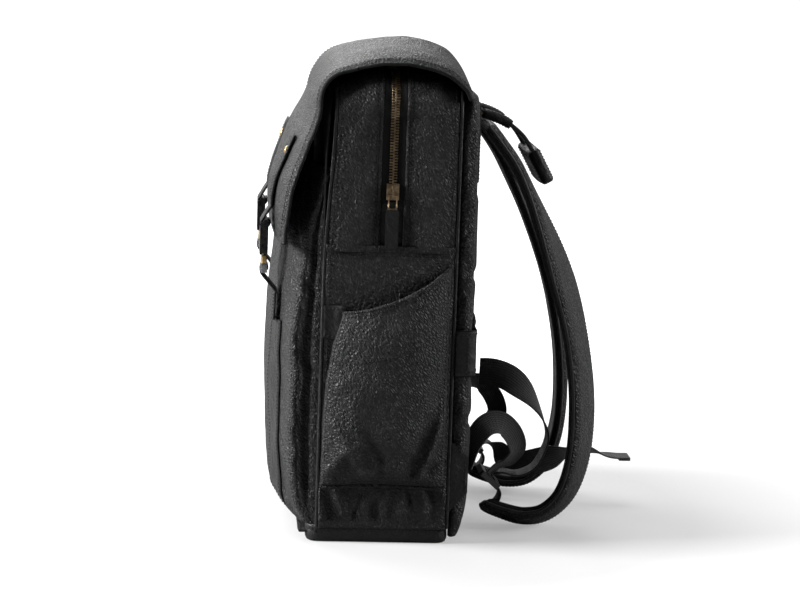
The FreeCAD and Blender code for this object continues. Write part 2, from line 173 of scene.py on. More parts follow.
def make_world():
    """White to the camera. As light it is brightest on the far side, -X."""
    scene.world = world = bpy.data.worlds.new("studio")
    world.use_nodes = True
    world.node_tree.nodes.clear()
    n = Nodes(world.node_tree)
    seen, lit = n.add("Background"), n.add("Background")
    shade, split = n.add("MixShader"), n.add("SeparateXYZ")
    seen.inputs["Color"].default_value = (1, 1, 1, 1)
    n.join(n.where.outputs["Generated"], split.inputs[0])
    n.join(n.remap(split.outputs["X"], -0.75, 0.3, 0.55, 0.0), lit.inputs["Strength"])
    n.join(n.add("LightPath").outputs["Is Camera Ray"], shade.inputs["Fac"])
    n.join(lit.outputs[0], shade.inputs[1])
    n.join(seen.outputs[0], shade.inputs[2])
    n.join(shade.outputs[0], n.add("OutputWorld").inputs["Surface"])


def shader_material(name, base=None, **sockets):
    """A material with the given Principled sockets, its shader and a Nodes for its tree."""
    mat = bpy.data.materials.new(name)
    mat.use_nodes = True
    shader = mat.node_tree.nodes["Principled BSDF"]
    if base:
        shader.inputs["Base Color"].default_value = (*base, 1)
    for key, value in sockets.items():
        shader.inputs[key.replace("_", " ")].default_value = value
    return mat, shader, Nodes(mat.node_tree)


def make_stage():
    """A plain floor with painted light: it glows for the camera only, weakly near the bag, where its shadow
    falls, and pure white further off, so that its edge never shows.
    """
    mesh = bpy.data.meshes.new("floor")
    r = FLOOR_REACH
    mesh.from_pydata([(-r, -r, 0), (r, -r, 0), (r, r, 0), (-r, r, 0)], [], [(0, 1, 2, 3)])
    floor = bpy.data.objects.new("floor", mesh)
    scene.collection.objects.link(floor)
    mat, shader, n = shader_material("floor_white", (0.28, 0.28, 0.28), Roughness=0.8,
                                     Emission_Color=(1, 1, 1, 1))
    far = n.add("VectorMath", operation="LENGTH")
    n.join(n.where.outputs["Object"], far.inputs[0])
    # painted light: a glow the camera alone sees, 0.34 near the bag rising to 1.1 from 0.8 m out
    glow = n.remap(far.outputs["Value"], 0.3, 0.8, 0.34, 1.1)
    seen = n.add("LightPath").outputs["Is Camera Ray"]
    n.join(n.math("MULTIPLY", seen, glow), shader.inputs["Emission Strength"])
    mesh.materials.append(mat)


make_camera()
make_world()
make_stage()
for row in LIGHTS:
    area_light(*row)
scene.view_settings.view_transform = "Standard"


# ---- materials ----
def grey(value):
    return (value, value, value)


def leather_material(name, dark, light, cell, depth, rough, specular, stretch_by=(1.0, 1.7, 0.85)):
    """Leather with pebbles `cell` mm across and `depth` mm deep, longer along one diagonal; its colour has
    random patches of tone and painted shade in the grooves between the pebbles.
    """
    mat, _, n = shader_material(name, Specular_IOR_Level=specular)
    stretch = n.add("Mapping", vector_type="TEXTURE")
    stretch.inputs["Rotation"].default_value = (math.radians(-45), 0, 0)
    stretch.inputs["Scale"].default_value = stretch_by
    n.join(n.where.outputs["Object"], stretch.inputs["Vector"])
    wobble = n.add("TexNoise")
    wobble.inputs["Scale"].default_value = 520 / cell
    n.join(n.where.outputs["Object"], wobble.inputs["Vector"])
    shift = n.add("VectorMath", operation="MULTIPLY_ADD")
    n.join(wobble.outputs["Color"], shift.inputs[0])
    shift.inputs[1].default_value = (cell * 0.7 * MM,) * 3
    n.join(stretch.outputs["Vector"], shift.inputs[2])
    edges = n.cells(1000 / cell, "DISTANCE_TO_EDGE", shift.outputs["Vector"])
    pebble = n.remap(edges, 0.0, 0.32, 0.0, 1.0)
    fine = n.noise(2400 / cell, 3.0)
    creases = n.noise(120, 4.0, 0.62, stretch.outputs["Vector"])
    patches = n.noise(14, 3.0)
    # colour: random patches of tone, plus painted shade that darkens the grooves between the pebbles
    color = n.mix(n.remap(n.plus(patches, pebble, 0.25), 0.35, 0.85, 0, 1), dark, light)
    worn = n.remap(n.math("ADD", n.math("MULTIPLY", creases, 0.6), n.math("MULTIPLY", patches, 0.4)),
                   0.3, 0.7, *rough)
    roughness = n.math("ADD", worn, n.remap(pebble, 0.0, 0.8, 0.3, 0.0))
    height = n.math("ADD", n.math("MULTIPLY", pebble, 0.8), n.math("MULTIPLY", fine, 0.3))
    n.finish(color, roughness, n.bump(height, depth * MM, under=n.bump(creases, 0.0032, 0.7)))
    return mat


def metal_material(name, dark, light, rough):
    mat, _, n = shader_material(name, Metallic=1.0)
    patches = n.noise(240, 4.0)
    scratches = n.noise(900, 4.0, 0.7)
    n.finish(n.mix(n.remap(patches, 0.3, 0.75, 0, 1), dark, light), n.remap(scratches, 0.3, 0.7, *rough),
             n.bump(scratches, 0.00002, 0.5))
    return mat


def cloth_material(name, dark, light, scale, depth, rough=(0.75, 0.9), feature="F1", sheen=0.0):
    mat, _, n = shader_material(name, Sheen_Weight=sheen, Specular_IOR_Level=0.25)
    cell = n.cells(scale, feature)
    fuzz = n.noise(scale * 2.3, 3.0)
    color = n.mix(n.remap(n.plus(cell, fuzz, 0.5), 0.2, 0.9, 0, 1), dark, light)
    n.finish(color, n.remap(fuzz, 0.3, 0.7, *rough), n.bump(n.plus(cell, fuzz, 0.4), depth * MM, 0.9))
    return mat


def webbing_material(name, dark, light):
    """A tight diagonal weave in millimetres of the strip's own width and length."""
    mat, _, n = shader_material(name, Specular_IOR_Level=0.35, Sheen_Weight=0.15)
    waves = []
    for angle in (35, -35):
        turn = n.add("Mapping")
        turn.inputs["Rotation"].default_value = (0, 0, math.radians(angle))
        n.join(n.where.outputs["UV"], turn.inputs["Vector"])
        waves.append(n.bands("Y", 0.26, turn.outputs["Vector"], 0.4))
    ribs = n.bands("X", 0.14, n.where.outputs["UV"])
    weave = n.plus(n.math("MAXIMUM", *waves), ribs, 0.7)
    fuzz = n.noise(1500)
    n.finish(n.mix(n.remap(weave, 0.5, 1.6, 0, 1), dark, light), n.remap(fuzz, 0.3, 0.7, 0.55, 0.75),
             n.bump(n.plus(weave, fuzz, 0.4), 0.00045, 0.8))
    return mat


def plastic_material(name):
    mat, _, n = shader_material(name, grey(0.008), Specular_IOR_Level=0.45)
    pits = n.noise(1800, 3.0)
    n.finish(n.mix(n.noise(60), grey(0.007), grey(0.013)), n.remap(pits, 0.3, 0.7, 0.3, 0.42),
             n.bump(pits, 0.00006, 0.6))
    return mat


def make_materials():
    leather = (0.0018, 0.0019, 0.0019), (0.0045, 0.0047, 0.0046)
    mats = {
        "leather": leather_material("pebbled_leather", *leather, 2.7, 0.75, (0.39, 0.49), 0.3),
        "flap_leather": leather_material("flap_leather", *leather, 2.5, 0.75, (0.38, 0.48), 0.3,
                                         (1.4, 1.3, 0.9)),
        "smooth_leather": leather_material("smooth_leather", grey(0.0035), (0.007, 0.0069, 0.0068), 1.1, 0.06,
                                           (0.36, 0.48), 0.24),
        "edge": leather_material("painted_edge", grey(0.003), grey(0.005), 0.9, 0.04, (0.5, 0.62), 0.1),
        "webbing": webbing_material("webbing", grey(0.004), (0.02, 0.02, 0.021)),
        "zip_brass": metal_material("antique_brass", (0.12, 0.085, 0.05), (0.38, 0.28, 0.175), (0.28, 0.46)),
        "brass": metal_material("brass", (0.3, 0.2, 0.085), (0.52, 0.37, 0.18), (0.24, 0.42)),
        "black_metal": metal_material("black_metal", (0.012, 0.012, 0.013), (0.05, 0.05, 0.052), (0.24, 0.4)),
        "steel": metal_material("polished_steel", (0.16, 0.16, 0.165), (0.36, 0.36, 0.37), (0.2, 0.34)),
        "black_plastic": plastic_material("black_plastic"),
    }
    for name, *values in (
        ("lining", (0.02, 0.02, 0.022), (0.05, 0.05, 0.055), 900, 0.1),
        ("suede", grey(0.0015), grey(0.004), 900, 0.1, (0.9, 0.98)),
        ("board", (0.03, 0.026, 0.022), (0.06, 0.052, 0.044), 400, 0.06),
        ("zip_tape", grey(0.0015), grey(0.005), 1300, 0.15, (0.9, 0.98)),
        ("spacer_mesh", grey(0.002), (0.014, 0.014, 0.0145), 420, 0.8, (0.75, 0.9), "DISTANCE_TO_EDGE", 0.05),
        ("thread", grey(0.003), grey(0.009), 2500, 0.08, (0.55, 0.7)),
    ):
        mats[name] = cloth_material(name, *values)
    return mats


MATS = make_materials()
PAINTED = ("leather", "flap_leather", "smooth_leather")  # the finishes whose sheets have painted edges


# ---- numbers and lines ----
def unit(vectors):
    return vectors / np.maximum(np.linalg.norm(vectors, axis=-1, keepdims=True), 1e-9)


def smoothstep(x, low, high):
    t = np.clip((np.asarray(x, float) - low) / (high - low), 0, 1)
    return t * t * (3 - 2 * t)


def lengths(line):
    """The length gone at each point of a line."""
    return np.r_[0, np.cumsum(np.linalg.norm(np.diff(line, axis=0), axis=1))]


def even(line, count):
    gone = lengths(line)
    at = np.linspace(0, gone[-1], count)
    return np.stack([np.interp(at, gone, line[:, k]) for k in range(line.shape[1])], axis=1)


def smooth_line(points, count):
    """`count` evenly spaced points on a smooth curve through the given ones."""
    p = np.array(points, float)
    p = np.vstack([2 * p[0] - p[1], p, 2 * p[-1] - p[-2]])
    t = np.linspace(0, 1, 24, endpoint=False)[:, None]
    runs = [
        0.5 * (2 * b + (c - a) * t + (2 * a - 5 * b + 4 * c - d) * t**2 + (3 * b - a - 3 * c + d) * t**3)
        for a, b, c, d in zip(p, p[1:], p[2:], p[3:])
    ]
    return even(np.vstack(runs + [p[-2:-1]]), count)


def line_length(line):
    return float(np.linalg.norm(np.diff(line, axis=0), axis=1).sum())


def noise(x, y, seed):
    """Smooth noise from -1 to 1, the same on every run."""
    x, y = np.broadcast_arrays(np.asarray(x, float), np.asarray(y, float))
    xi, yi = np.floor(x), np.floor(y)
    fx, fy = smoothstep(x - xi, 0, 1), smoothstep(y - yi, 0, 1)

    def corner(i, j):
        h = np.sin((xi + i) * 127.1 + (yi + j) * 311.7 + seed * 74.7) * 43758.5453
        return (h - np.floor(h)) * 2 - 1

    low = corner(0, 0) * (1 - fx) + corner(1, 0) * fx
    high = corner(0, 1) * (1 - fx) + corner(1, 1) * fx
    return low * (1 - fy) + high * fy


def ridge(a, b, start, end, width, height):
    """A soft fold along the segment from start to end in the (a, b) plane; a negative height is a crease."""
    start, end = np.array(start, float), np.array(end, float)
    run = end - start
    t = ((a - start[0]) * run[0] + (b - start[1]) * run[1]) / (run @ run)
    off = np.hypot(a - start[0] - np.clip(t, 0, 1) * run[0], b - start[1] - np.clip(t, 0, 1) * run[1])
    return height * np.exp(-(off / width) ** 2) * smoothstep(t, -0.25, 0.2) * (1 - smoothstep(t, 0.8, 1.25))


def arch_line(half, top, radius, bottom, count):
    """(x, z) points and outward normals, from the right side's foot over the top to the left side's foot."""
    turn = np.radians(np.linspace(0, 90, 25))
    right = np.stack([half - radius + radius * np.cos(turn), top - radius + radius * np.sin(turn)], axis=1)
    left = right[::-1] * (-1, 1)
    line = even(np.vstack([[(half, bottom)], right, left, [(-half, bottom)]]), count)
    tangent = unit(np.gradient(line, axis=0))
    return line, np.stack([tangent[:, 1], -tangent[:, 0]], axis=1)


def on_side(points, side):
    return np.asarray(points, float) * (side, 1, 1)


def grid(u, v):
    return np.meshgrid(u, v, indexing="ij")


def xyz(x, y, z):
    """Points from three coordinates that broadcast."""
    return np.stack(np.broadcast_arrays(x, y, z), axis=-1).astype(float)


def facing(points, x, y):
    """A line for sew() whose normals all point along (x, y, 0)."""
    return points, [(x, y, 0)] * len(points)


# ---- meshes ----
def make_object(name, vertices, faces, finishes, sharp=None, rim_from=None, uv=None):
    """A mesh from millimetre vertices. Faces from index rim_from on take the last finish."""
    mesh = bpy.data.meshes.new(name)
    mesh.from_pydata((np.asarray(vertices, float) * MM).tolist(), [], faces)
    mesh.validate()
    for finish in finishes:
        mesh.materials.append(MATS[finish])
    if rim_from is not None:
        index = np.zeros(len(mesh.polygons), np.int32)
        index[rim_from:] = len(finishes) - 1
        mesh.polygons.foreach_set("material_index", index)
    if uv is not None:
        layer = mesh.uv_layers.new(name="UVMap")
        corner = np.zeros(len(mesh.loops), np.int32)
        mesh.loops.foreach_get("vertex_index", corner)
        layer.data.foreach_set("uv", np.asarray(uv, np.float32)[corner].ravel())
    work = bmesh.new()
    work.from_mesh(mesh)
    bmesh.ops.recalc_face_normals(work, faces=work.faces)
    work.to_mesh(mesh)
    work.free()
    mesh.shade_smooth()
    if sharp:
        mesh.set_sharp_from_angle(angle=math.radians(sharp))
    mesh.update()
    obj = bpy.data.objects.new(name, mesh)
    scene.collection.objects.link(obj)
    return obj


def place(obj, finish, *replaced, body="root", bend=None):
    """Puts a finished piece on its body. Given bend, a (parent, child, start, end) tuple in mm, it only bakes
    the piece's transform and puts it on no body; the tuple itself is not used.
    """
    if bend:
        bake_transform(obj)
    else:
        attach(obj, body)
    if replaced:
        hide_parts(*replaced)
    return obj


def grid_faces(rows, columns, first=0, wrap=False, flip=False):
    faces = []
    for i in range(rows - 1):
        for j in range(columns if wrap else columns - 1):
            k = (j + 1) % columns
            quad = (first + i * columns + j, first + i * columns + k, first + (i + 1) * columns + k,
                    first + (i + 1) * columns + j)
            faces.append(quad[::-1] if flip else quad)
    return faces


def surface_normals(surface, outward):
    """Normals of a grid surface; outward is a direction or a point-wise array that they should agree with."""
    normal = unit(np.cross(np.gradient(surface, axis=0), np.gradient(surface, axis=1)))
    return normal if (normal * outward).sum(axis=-1).mean() > 0 else -normal


def sheet(name, surface, thickness, finish, outward, *replaced, cut_row=None, **ride):
    """A closed sheet: the outer surface is given, the inner one lies `thickness` below, the rim is rounded.

    The rim is flat and shaded smooth at cut_row, where the sheet meets the rest of the same leather."""
    rows, columns = surface.shape[:2]
    normal = surface_normals(surface, np.asarray(outward, float))
    inner = surface - normal * thickness
    loop = [(0, j) for j in range(columns)] + [(i, columns - 1) for i in range(1, rows)]
    loop += [(rows - 1, j) for j in range(columns - 2, -1, -1)] + [(i, 0) for i in range(rows - 2, 0, -1)]
    middle = [surface[i, j] - normal[i, j] * thickness / 2 for i, j in loop]
    rim = []
    for (i, j), point in zip(loop, middle):
        inside = surface[min(max(i, 1), rows - 2), min(max(j, 1), columns - 2)]
        out = unit(surface[i, j] - inside)
        out = unit(out - normal[i, j] * (out @ normal[i, j]))
        at_cut = cut_row is not None and i == cut_row % rows
        rim.append(point + out * thickness * (0 if at_cut else 0.45))
    count, around = rows * columns, len(loop)
    vertices = np.vstack([surface.reshape(-1, 3), inner.reshape(-1, 3), rim])
    faces = grid_faces(rows, columns) + grid_faces(rows, columns, count, flip=True)
    rim_from = len(faces)
    for n, (i, j) in enumerate(loop):
        i2, j2 = loop[(n + 1) % around]
        a, b, m, m2 = i * columns + j, i2 * columns + j2, 2 * count + n, 2 * count + (n + 1) % around
        faces += [(b, a, m, m2), (m2, m, count + a, count + b)]
    finishes = (finish, "edge") if finish in PAINTED else (finish,)
    obj = make_object(name, vertices, faces, finishes, 50, rim_from)
    if cut_row is not None:
        outer = normal.reshape(-1, 3)
        normals = np.vstack([outer, -outer, unit(np.array(rim) - np.array(middle) * 0.999)])
        obj.data.normals_split_custom_set_from_vertices(normals.tolist())
    return place(obj, finish, *replaced, **ride)


def loft(name, rings, finish, *replaced, uv=None, **ride):
    """Closed rings joined one after the other, with both ends capped."""
    count, around = rings.shape[:2]
    faces = grid_faces(count, around, wrap=True)
    faces += [tuple(range(around)), tuple(range((count - 1) * around, count * around))]
    obj = make_object(name, rings.reshape(-1, 3), faces, (finish,), 40, uv=uv)
    return place(obj, finish, *replaced, **ride)


def frames(line):
    """Tangents of a line, the normals square to it and to X, and the directions across it."""
    tangent = unit(np.gradient(line, axis=0))
    normal = unit(np.cross(tangent, (1.0, 0, 0)))
    return tangent, normal, unit(np.cross(normal, tangent))


def rounded_outline(half_width, half_thick, corner, steps=4):
    """(a, b) points round a strip's section, its corners rounded."""
    points = []
    for quarter, (sa, sb) in enumerate(((1, 1), (-1, 1), (-1, -1), (1, -1))):
        for k in range(steps + 1):
            turn = math.radians(90 * (quarter + k / steps))
            points.append((sa * (half_width - corner) + corner * math.cos(turn),
                           sb * (half_thick - corner) + corner * math.sin(turn)))
    return points


def strap(name, line, width, thickness, finish, *replaced, corner=None, normal=None, **ride):
    """A strip along a line. Its width lies along X, or square to the given normals."""
    thickness = np.broadcast_to(np.asarray(thickness, float), (len(line),))
    tangent, across, wide = frames(line)
    if normal is not None:
        across = unit(normal)
        wide = unit(np.cross(across, tangent))
    rings, uv = [], []
    for point, gone, w, n, thick in zip(line, lengths(line), wide, across, thickness):
        half = thick / 2
        outline = rounded_outline(width / 2, half, min(corner or half * 0.98, half * 0.98))
        rings.append([point + w * a + n * b for a, b in outline])
        uv += [(a, gone) for a, b in outline]
    return loft(name, np.array(rings), finish, *replaced, uv=uv, **ride)


def tube(name, line, radius, finish, closed=False, **ride):
    """A round cord along a line."""
    around = 8
    tangent = unit(np.gradient(line, axis=0))
    side = unit(np.cross(tangent[0], (0.31, 0.52, 0.79)))
    turns = np.arange(around) * 2 * PI / around
    rings = []
    for point, along in zip(line, tangent):
        side = unit(side - along * (side @ along))
        other = np.cross(along, side)
        rings.append(point + radius * (np.cos(turns)[:, None] * side + np.sin(turns)[:, None] * other))
    if closed:
        faces = grid_faces(len(line), around, wrap=True)
        last = (len(line) - 1) * around
        faces += [(last + j, last + (j + 1) % around, (j + 1) % around, j) for j in range(around)]
        return place(make_object(name, np.vstack(rings), faces, (finish,)), finish, **ride)
    uv = np.zeros((len(line) * around, 2)) if finish == "webbing" else None
    return loft(name, np.array(rings), finish, uv=uv, **ride)


def sew(name, lines, slot_name="leather", pitch=3.4, length=2.5, radius=0.36, **ride):
    """Sewn thread over (points, normals) lines: short raised stitches whose ends go down into the holes."""
    rise = np.array([-0.4, 0.16, 0.26, 0.16, -0.4])
    slant = np.array([-0.16, -0.1, 0, 0.1, 0.16])
    turns = np.arange(6) * PI / 3
    vertices, faces = [], []
    for points, normals in lines:
        points, normals = np.asarray(points, float), np.asarray(normals, float)
        gone = lengths(points)
        count = int(gone[-1] // pitch)
        if count < 1:
            continue
        margin = (gone[-1] - count * pitch + pitch - length) / 2
        at = margin + np.arange(count)[:, None] * pitch + np.linspace(0, length, 5)[None]
        spots = np.stack([np.interp(at, gone, points[:, k]) for k in range(3)], axis=-1)
        up = unit(np.stack([np.interp(at, gone, normals[:, k]) for k in range(3)], axis=-1))
        along = unit(spots[:, -1:] - spots[:, :1])
        side = unit(np.cross(up, along))
        spots = spots + up * (rise[None, :, None] + 0.05) + side * slant[None, :, None]
        ring = spots[:, :, None] + radius * (np.cos(turns)[None, None, :, None] * side[:, :, None]
                                             + 0.8 * np.sin(turns)[None, None, :, None] * up[:, :, None])
        first = sum(len(v) for v in vertices)
        vertices.append(ring.reshape(-1, 3))
        for start in range(first, first + count * 30, 30):
            faces += grid_faces(5, 6, start, wrap=True)
            faces += [tuple(range(start, start + 6)), tuple(range(start + 24, start + 30))]
    return place(make_object(name, np.vstack(vertices), faces, ("thread",)), slot_name, **ride)


# ---- main compartment ----
HALF, TOP, ROUND = 145.0, 400.0, 26.0
FRONT, BACK, ZIP_Y = -52.0, 60.0, 4.0
BASE_TOP, CROSS, ZIP_BOTTOM = 14.0, 260.0, 300.0
ARCH, ARCH_OUT = arch_line(HALF, TOP, ROUND, BASE_TOP, 640)
ARCH_AT = lengths(ARCH)
UPPER = np.flatnonzero(ARCH[:, 1] > CROSS - 4)
ZIPPED = np.flatnonzero(ARCH[:, 1] > ZIP_BOTTOM)


def on_arch(rows, y, offset):
    """Points on the arch's rows at depth y, `offset` out from it; the front seam leans back at the top."""
    flat = ARCH[rows] + ARCH_OUT[rows] * np.asarray(offset, float)[..., None]
    forward = np.clip((ZIP_Y - 12 - y) / (ZIP_Y - 12 - FRONT), 0, 1)
    lean = 6.5 * smoothstep(ARCH[rows][..., 1], 230, 385) * forward
    return xyz(flat[..., 0], y + lean, flat[..., 1])


def arch_normals(rows, y):
    return on_arch(rows, y, np.ones(rows.shape)) - on_arch(rows, y, np.zeros(rows.shape))


def upper_offset(rows, y):
    """How far the soft upper panels stand out from the arch: crowned on top, slightly full at the sides."""
    top_share = np.clip(ARCH_OUT[rows, 1], 0, 1) ** 0.8
    s = ARCH_AT[rows]
    crown = 13.0 * (1 - ((y - ZIP_Y) / 58) ** 2)
    panel = np.where(y < ZIP_Y, (y - FRONT) / (ZIP_Y - 10 - FRONT), (BACK - y) / (BACK - ZIP_Y - 10))
    full = np.sin(PI * np.clip(panel, 0, 1))
    waves = noise(s / 41, y / 17, 3) * 1.5 + noise(s / 17, y / 11, 5) * 0.8 + noise(s / 7, y / 6, 8) * 0.3
    return crown * top_share + full * (2.4 * (1 - top_share) + waves)


def arch_line_at(rows, y, lift=0.0):
    """A line along the upper panels' face at depth y."""
    return on_arch(rows, y, upper_offset(rows, np.full(len(rows), y)) + lift)


def fold_columns(outer, inner):
    """Column positions from a seam to the folded zip edge, with how far each lies under the face."""
    step = 1 if inner > outer else -1
    seam = [(outer + a * step, drop) for a, drop in ((0, 3.0), (0.2, 1.1), (1.0, 0.25))]
    middle = [(y, 0.0) for y in np.arange(outer + 2.4 * step, inner - 5.4 * step, 2.3 * step)]
    edge = [(inner - a * step, drop) for a, drop in (
        (5.0, 0.15), (4.2, 0.55), (3.4, 0.2), (2.6, -0.3), (1.7, -0.4), (0.9, -0.1), (0.3, 0.6), (0, 1.6),
        (-0.1, 3.0))]
    return np.array(seam + middle + edge)


def make_upper():
    for name, outer, inner in (("gusset_front", FRONT, ZIP_Y - 10), ("gusset_rear", BACK, ZIP_Y + 10)):
        columns = fold_columns(outer, inner)
        rows, y = grid(UPPER, columns[:, 0])
        surface = on_arch(rows, y, upper_offset(rows, y) - columns[:, 1])
        sheet(name, surface, 1.6, "leather", arch_normals(rows, y), name)
    sew("gusset_thread", [(arch_line_at(UPPER, y), arch_normals(UPPER, 0.0))
                          for y in (ZIP_Y - 14.2, ZIP_Y + 14.2, FRONT + 3.6, BACK - 3.6)])
    under_slump = 2.8 * smoothstep(-ARCH[:, 0], 80, 135) * smoothstep(ARCH[:, 1], 310, 360)
    lift = -1.2 + np.clip(ARCH_OUT[:, 1], 0, 1) * 0.9 + noise(ARCH_AT / 23, 0.0, 31) * 0.5 - under_slump
    for name, y in (("front_seam_piping", FRONT - 0.8), ("rear_seam_piping", BACK + 1.2)):
        tube(name, on_arch(np.arange(len(ARCH)), y, lift)[::2], 1.7, "smooth_leather")


def make_zip():
    rows, y = grid(ZIPPED, np.linspace(ZIP_Y - 10.6, ZIP_Y + 10.6, 12))
    level = upper_offset(rows, np.full(y.shape, ZIP_Y))
    bow = -0.6 + 0.9 * ((y - ZIP_Y) / 10.6) ** 2
    tape = on_arch(rows, y, level - 1.4 + bow)
    sheet("zip_tape_cloth", tape, 0.8, "zip_tape", arch_normals(rows, y), "zip_tape")

    centre, normal = arch_line_at(ZIPPED, ZIP_Y, -1.2), arch_normals(ZIPPED, ZIP_Y)
    count = int(line_length(centre) / 1.2)
    centre, normal = even(centre, count), unit(even(normal, count))
    along = unit(np.gradient(centre, axis=0))
    vertices, faces = [], []
    for k in range(2, count - 1):
        side = 1 if k % 2 else -1
        first = len(vertices)
        for height, pinch in ((-0.5, 0.0), (0.35, 0.05), (0.75, 0.4)):
            for across, half in ((-0.75 * side + pinch * side, 0.5), (3.5 * side - pinch * side, 0.68)):
                for s in (-1, 1):
                    half_long = (half - pinch * 0.5) * s
                    vertices.append(centre[k] + np.array((0, across, 0)) + along[k] * half_long
                                    + normal[k] * height)
        for level in (first, first + 4):
            faces += [(level + a, level + b, level + b + 4, level + a + 4)
                      for a, b in ((0, 1), (1, 3), (3, 2), (2, 0))]
        faces += [(first, first + 2, first + 3, first + 1), (first + 8, first + 9, first + 11, first + 10)]
    place(make_object("zip_teeth_row", vertices, faces, ("zip_brass",), 30), "zip_brass", "zip_teeth")

    lines = []
    for name, side in SIDES:
        z, y = grid(np.linspace(CROSS - 1, ZIP_BOTTOM + 0.2, 14), np.linspace(ZIP_Y - 10.4, ZIP_Y + 10.4, 9))
        dip = 1.6 - 0.8 * np.cos((y - ZIP_Y) / 10.4 * PI)
        sheet("zip_patch_" + name, on_side(xyz(HALF - dip, y, z), side), 1.4, "smooth_leather", (side, 0, 0),
              "zip_end_patches")
        line = even(np.array([(143.5, -3.2, 295), (143.5, 11.2, 295)]), 8)
        lines.append(facing(on_side(line, side), side, 0))
    sew("zip_patch_thread", lines, "smooth_leather")


def lower_x(y, z):
    """The lower side panel's face: creased where it is gathered under the pocket."""
    gather = (1 - smoothstep(z, 40, 70)) * smoothstep(z, 14, 26)
    creases = noise(y / 6.5 + z / 40, z / 26, 11) * 1.8 + noise(y / 3.4, z / 15, 12) * 0.5
    for line in (((-40, 50), (-28, 22), 3.2, 2.2), ((-12, 48), (-22, 20), 3.0, -1.6),
                 ((18, 50), (30, 18), 3.6, 2.0), ((38, 46), (50, 24), 3.0, 1.6),
                 ((2, 46), (6, 20), 3.0, 1.2)):
        creases = creases + ridge(y, z, *line)
    full = np.sin(PI * np.clip((z - 190) / 70, 0, 1)) * np.sin(PI * np.clip((y - FRONT) / 112, 0, 1))
    soft = noise(y / 22, z / 34, 14) * 0.7 * smoothstep(z, 60, 100)
    return HALF + 0.5 + gather * creases * 1.4 + full * 1.4 + soft * (1 - smoothstep(z, 250, 258))


def make_lower():
    front, back = [FRONT, FRONT + 0.2, FRONT + 1], [BACK - 1, BACK - 0.2, BACK]
    y_line = np.r_[front, np.arange(FRONT + 2.4, BACK - 2, 2.2), back]
    drop = np.interp(y_line, front + [FRONT + 2.4, BACK - 2] + back, [3.0, 1.1, 0.25, 0, 0, 0.25, 1.1, 3.0])
    lines = []
    for name, side in SIDES:
        z, y = grid(np.arange(BASE_TOP - 1.5, CROSS + 2.4, 2.6), y_line)
        top = smoothstep(z, CROSS - 7, CROSS + 1) * 1.5
        sheet(f"side_panel_{name}_skin", on_side(xyz(lower_x(y, z) + top - drop, y, z), side), 1.8, "leather",
              (side, 0, 0), "side_panel_" + name)
        y = np.linspace(FRONT + 3, BACK - 3, 60)
        for z in (CROSS - 2.5, CROSS - 6.0):
            x = lower_x(y, z) + smoothstep(z, CROSS - 7, CROSS + 1) * 1.5
            lines.append(facing(on_side(xyz(x, y, z), side), side, 0))
        z = np.linspace(BASE_TOP + 4, CROSS - 8, 110)
        for y in (np.full(110, FRONT + 3.6), np.full(110, BACK - 3.6)):
            lines.append(facing(on_side(xyz(lower_x(y, z), y, z), side), side, 0))
    sew("side_panel_thread", lines)


def base_ring(inset, z):
    """A ring round the base: a rounded rectangle."""
    half_x, half_y, r = HALF - inset, 62.0 - inset, max(10.0 - inset, 2.0)
    points = []
    for sx, sy, start in ((1, -1, -90), (1, 1, 0), (-1, 1, 90), (-1, -1, 180)):
        for k in range(7):
            turn = math.radians(start + 90 * k / 6)
            points.append((sx * (half_x - r) + r * math.cos(turn), sy * (half_y - r) + r * math.sin(turn)))
    around = even(np.array(points + points[:1]), 181)[:-1]
    return xyz(around[:, 0], around[:, 1], z)


def make_base():
    profile = [(6.0, 4.0), (4.0, 14.6), (0.9, 15.2), (0.2, 14.4), (-0.1, 12.5), (0.25, 11.2), (0.0, 9.5),
               (-0.2, 6), (0.0, 3.2), (0.8, 1.1), (2.4, 0.15), (8.0, 0.0)]
    rings = np.array([base_ring(inset, z) for inset, z in profile])
    wave = noise(np.arange(180) / 9, 0.0, 21)[None, :, None] * np.array((0.25, 0.25, 0))
    rings[2:9] += wave * np.sign(rings[2:9]) * (1, 1, 0)
    loft("base_strip", rings, "smooth_leather", "base_panel")
    ring = base_ring(0.25, 11.2)
    ring = np.vstack([ring, ring[:1]])
    outward = unit(xyz(ring[:, 0] * 0.4, ring[:, 1], 0))
    flat = np.abs(ring[:, 1]) < 52
    outward[flat] = xyz(np.sign(ring[flat, 0]), 0, 0)
    sew("base_thread", [(ring, outward)], "smooth_leather")


# ---- flat panels and the back ----
def plate_surface(half, top, radius, bottom, depth, columns=40, rows=60):
    """A panel with rounded top corners; depth(x, z) gives y."""
    bend = radius * np.sin(np.linspace(0, PI / 2, 14))[1:]
    z, share = grid(np.r_[np.linspace(bottom, top - radius, rows - 12), top - radius + bend],
                    np.linspace(-1, 1, columns))
    over = np.clip(z - (top - radius), 0, radius)
    x = share * (half - radius + np.sqrt(np.maximum(radius**2 - over**2, 0)))
    return xyz(x, depth(x, z), z)


PAD_CHANNELS = [((-24, 20), (-24, 306)), ((24, 20), (24, 306)), ((-125, 108), (-24, 108)),
                ((24, 108), (125, 108)), ((-125, 236), (-24, 226)), ((24, 226), (125, 236))]


def foot_share(z):
    """How much of its thickness the back has kept at height z: its foot is rounded."""
    return 0.3 + 0.7 * np.sqrt(1 - (1 - np.clip((z - 4) / 48, 0.0, 1)) ** 2)


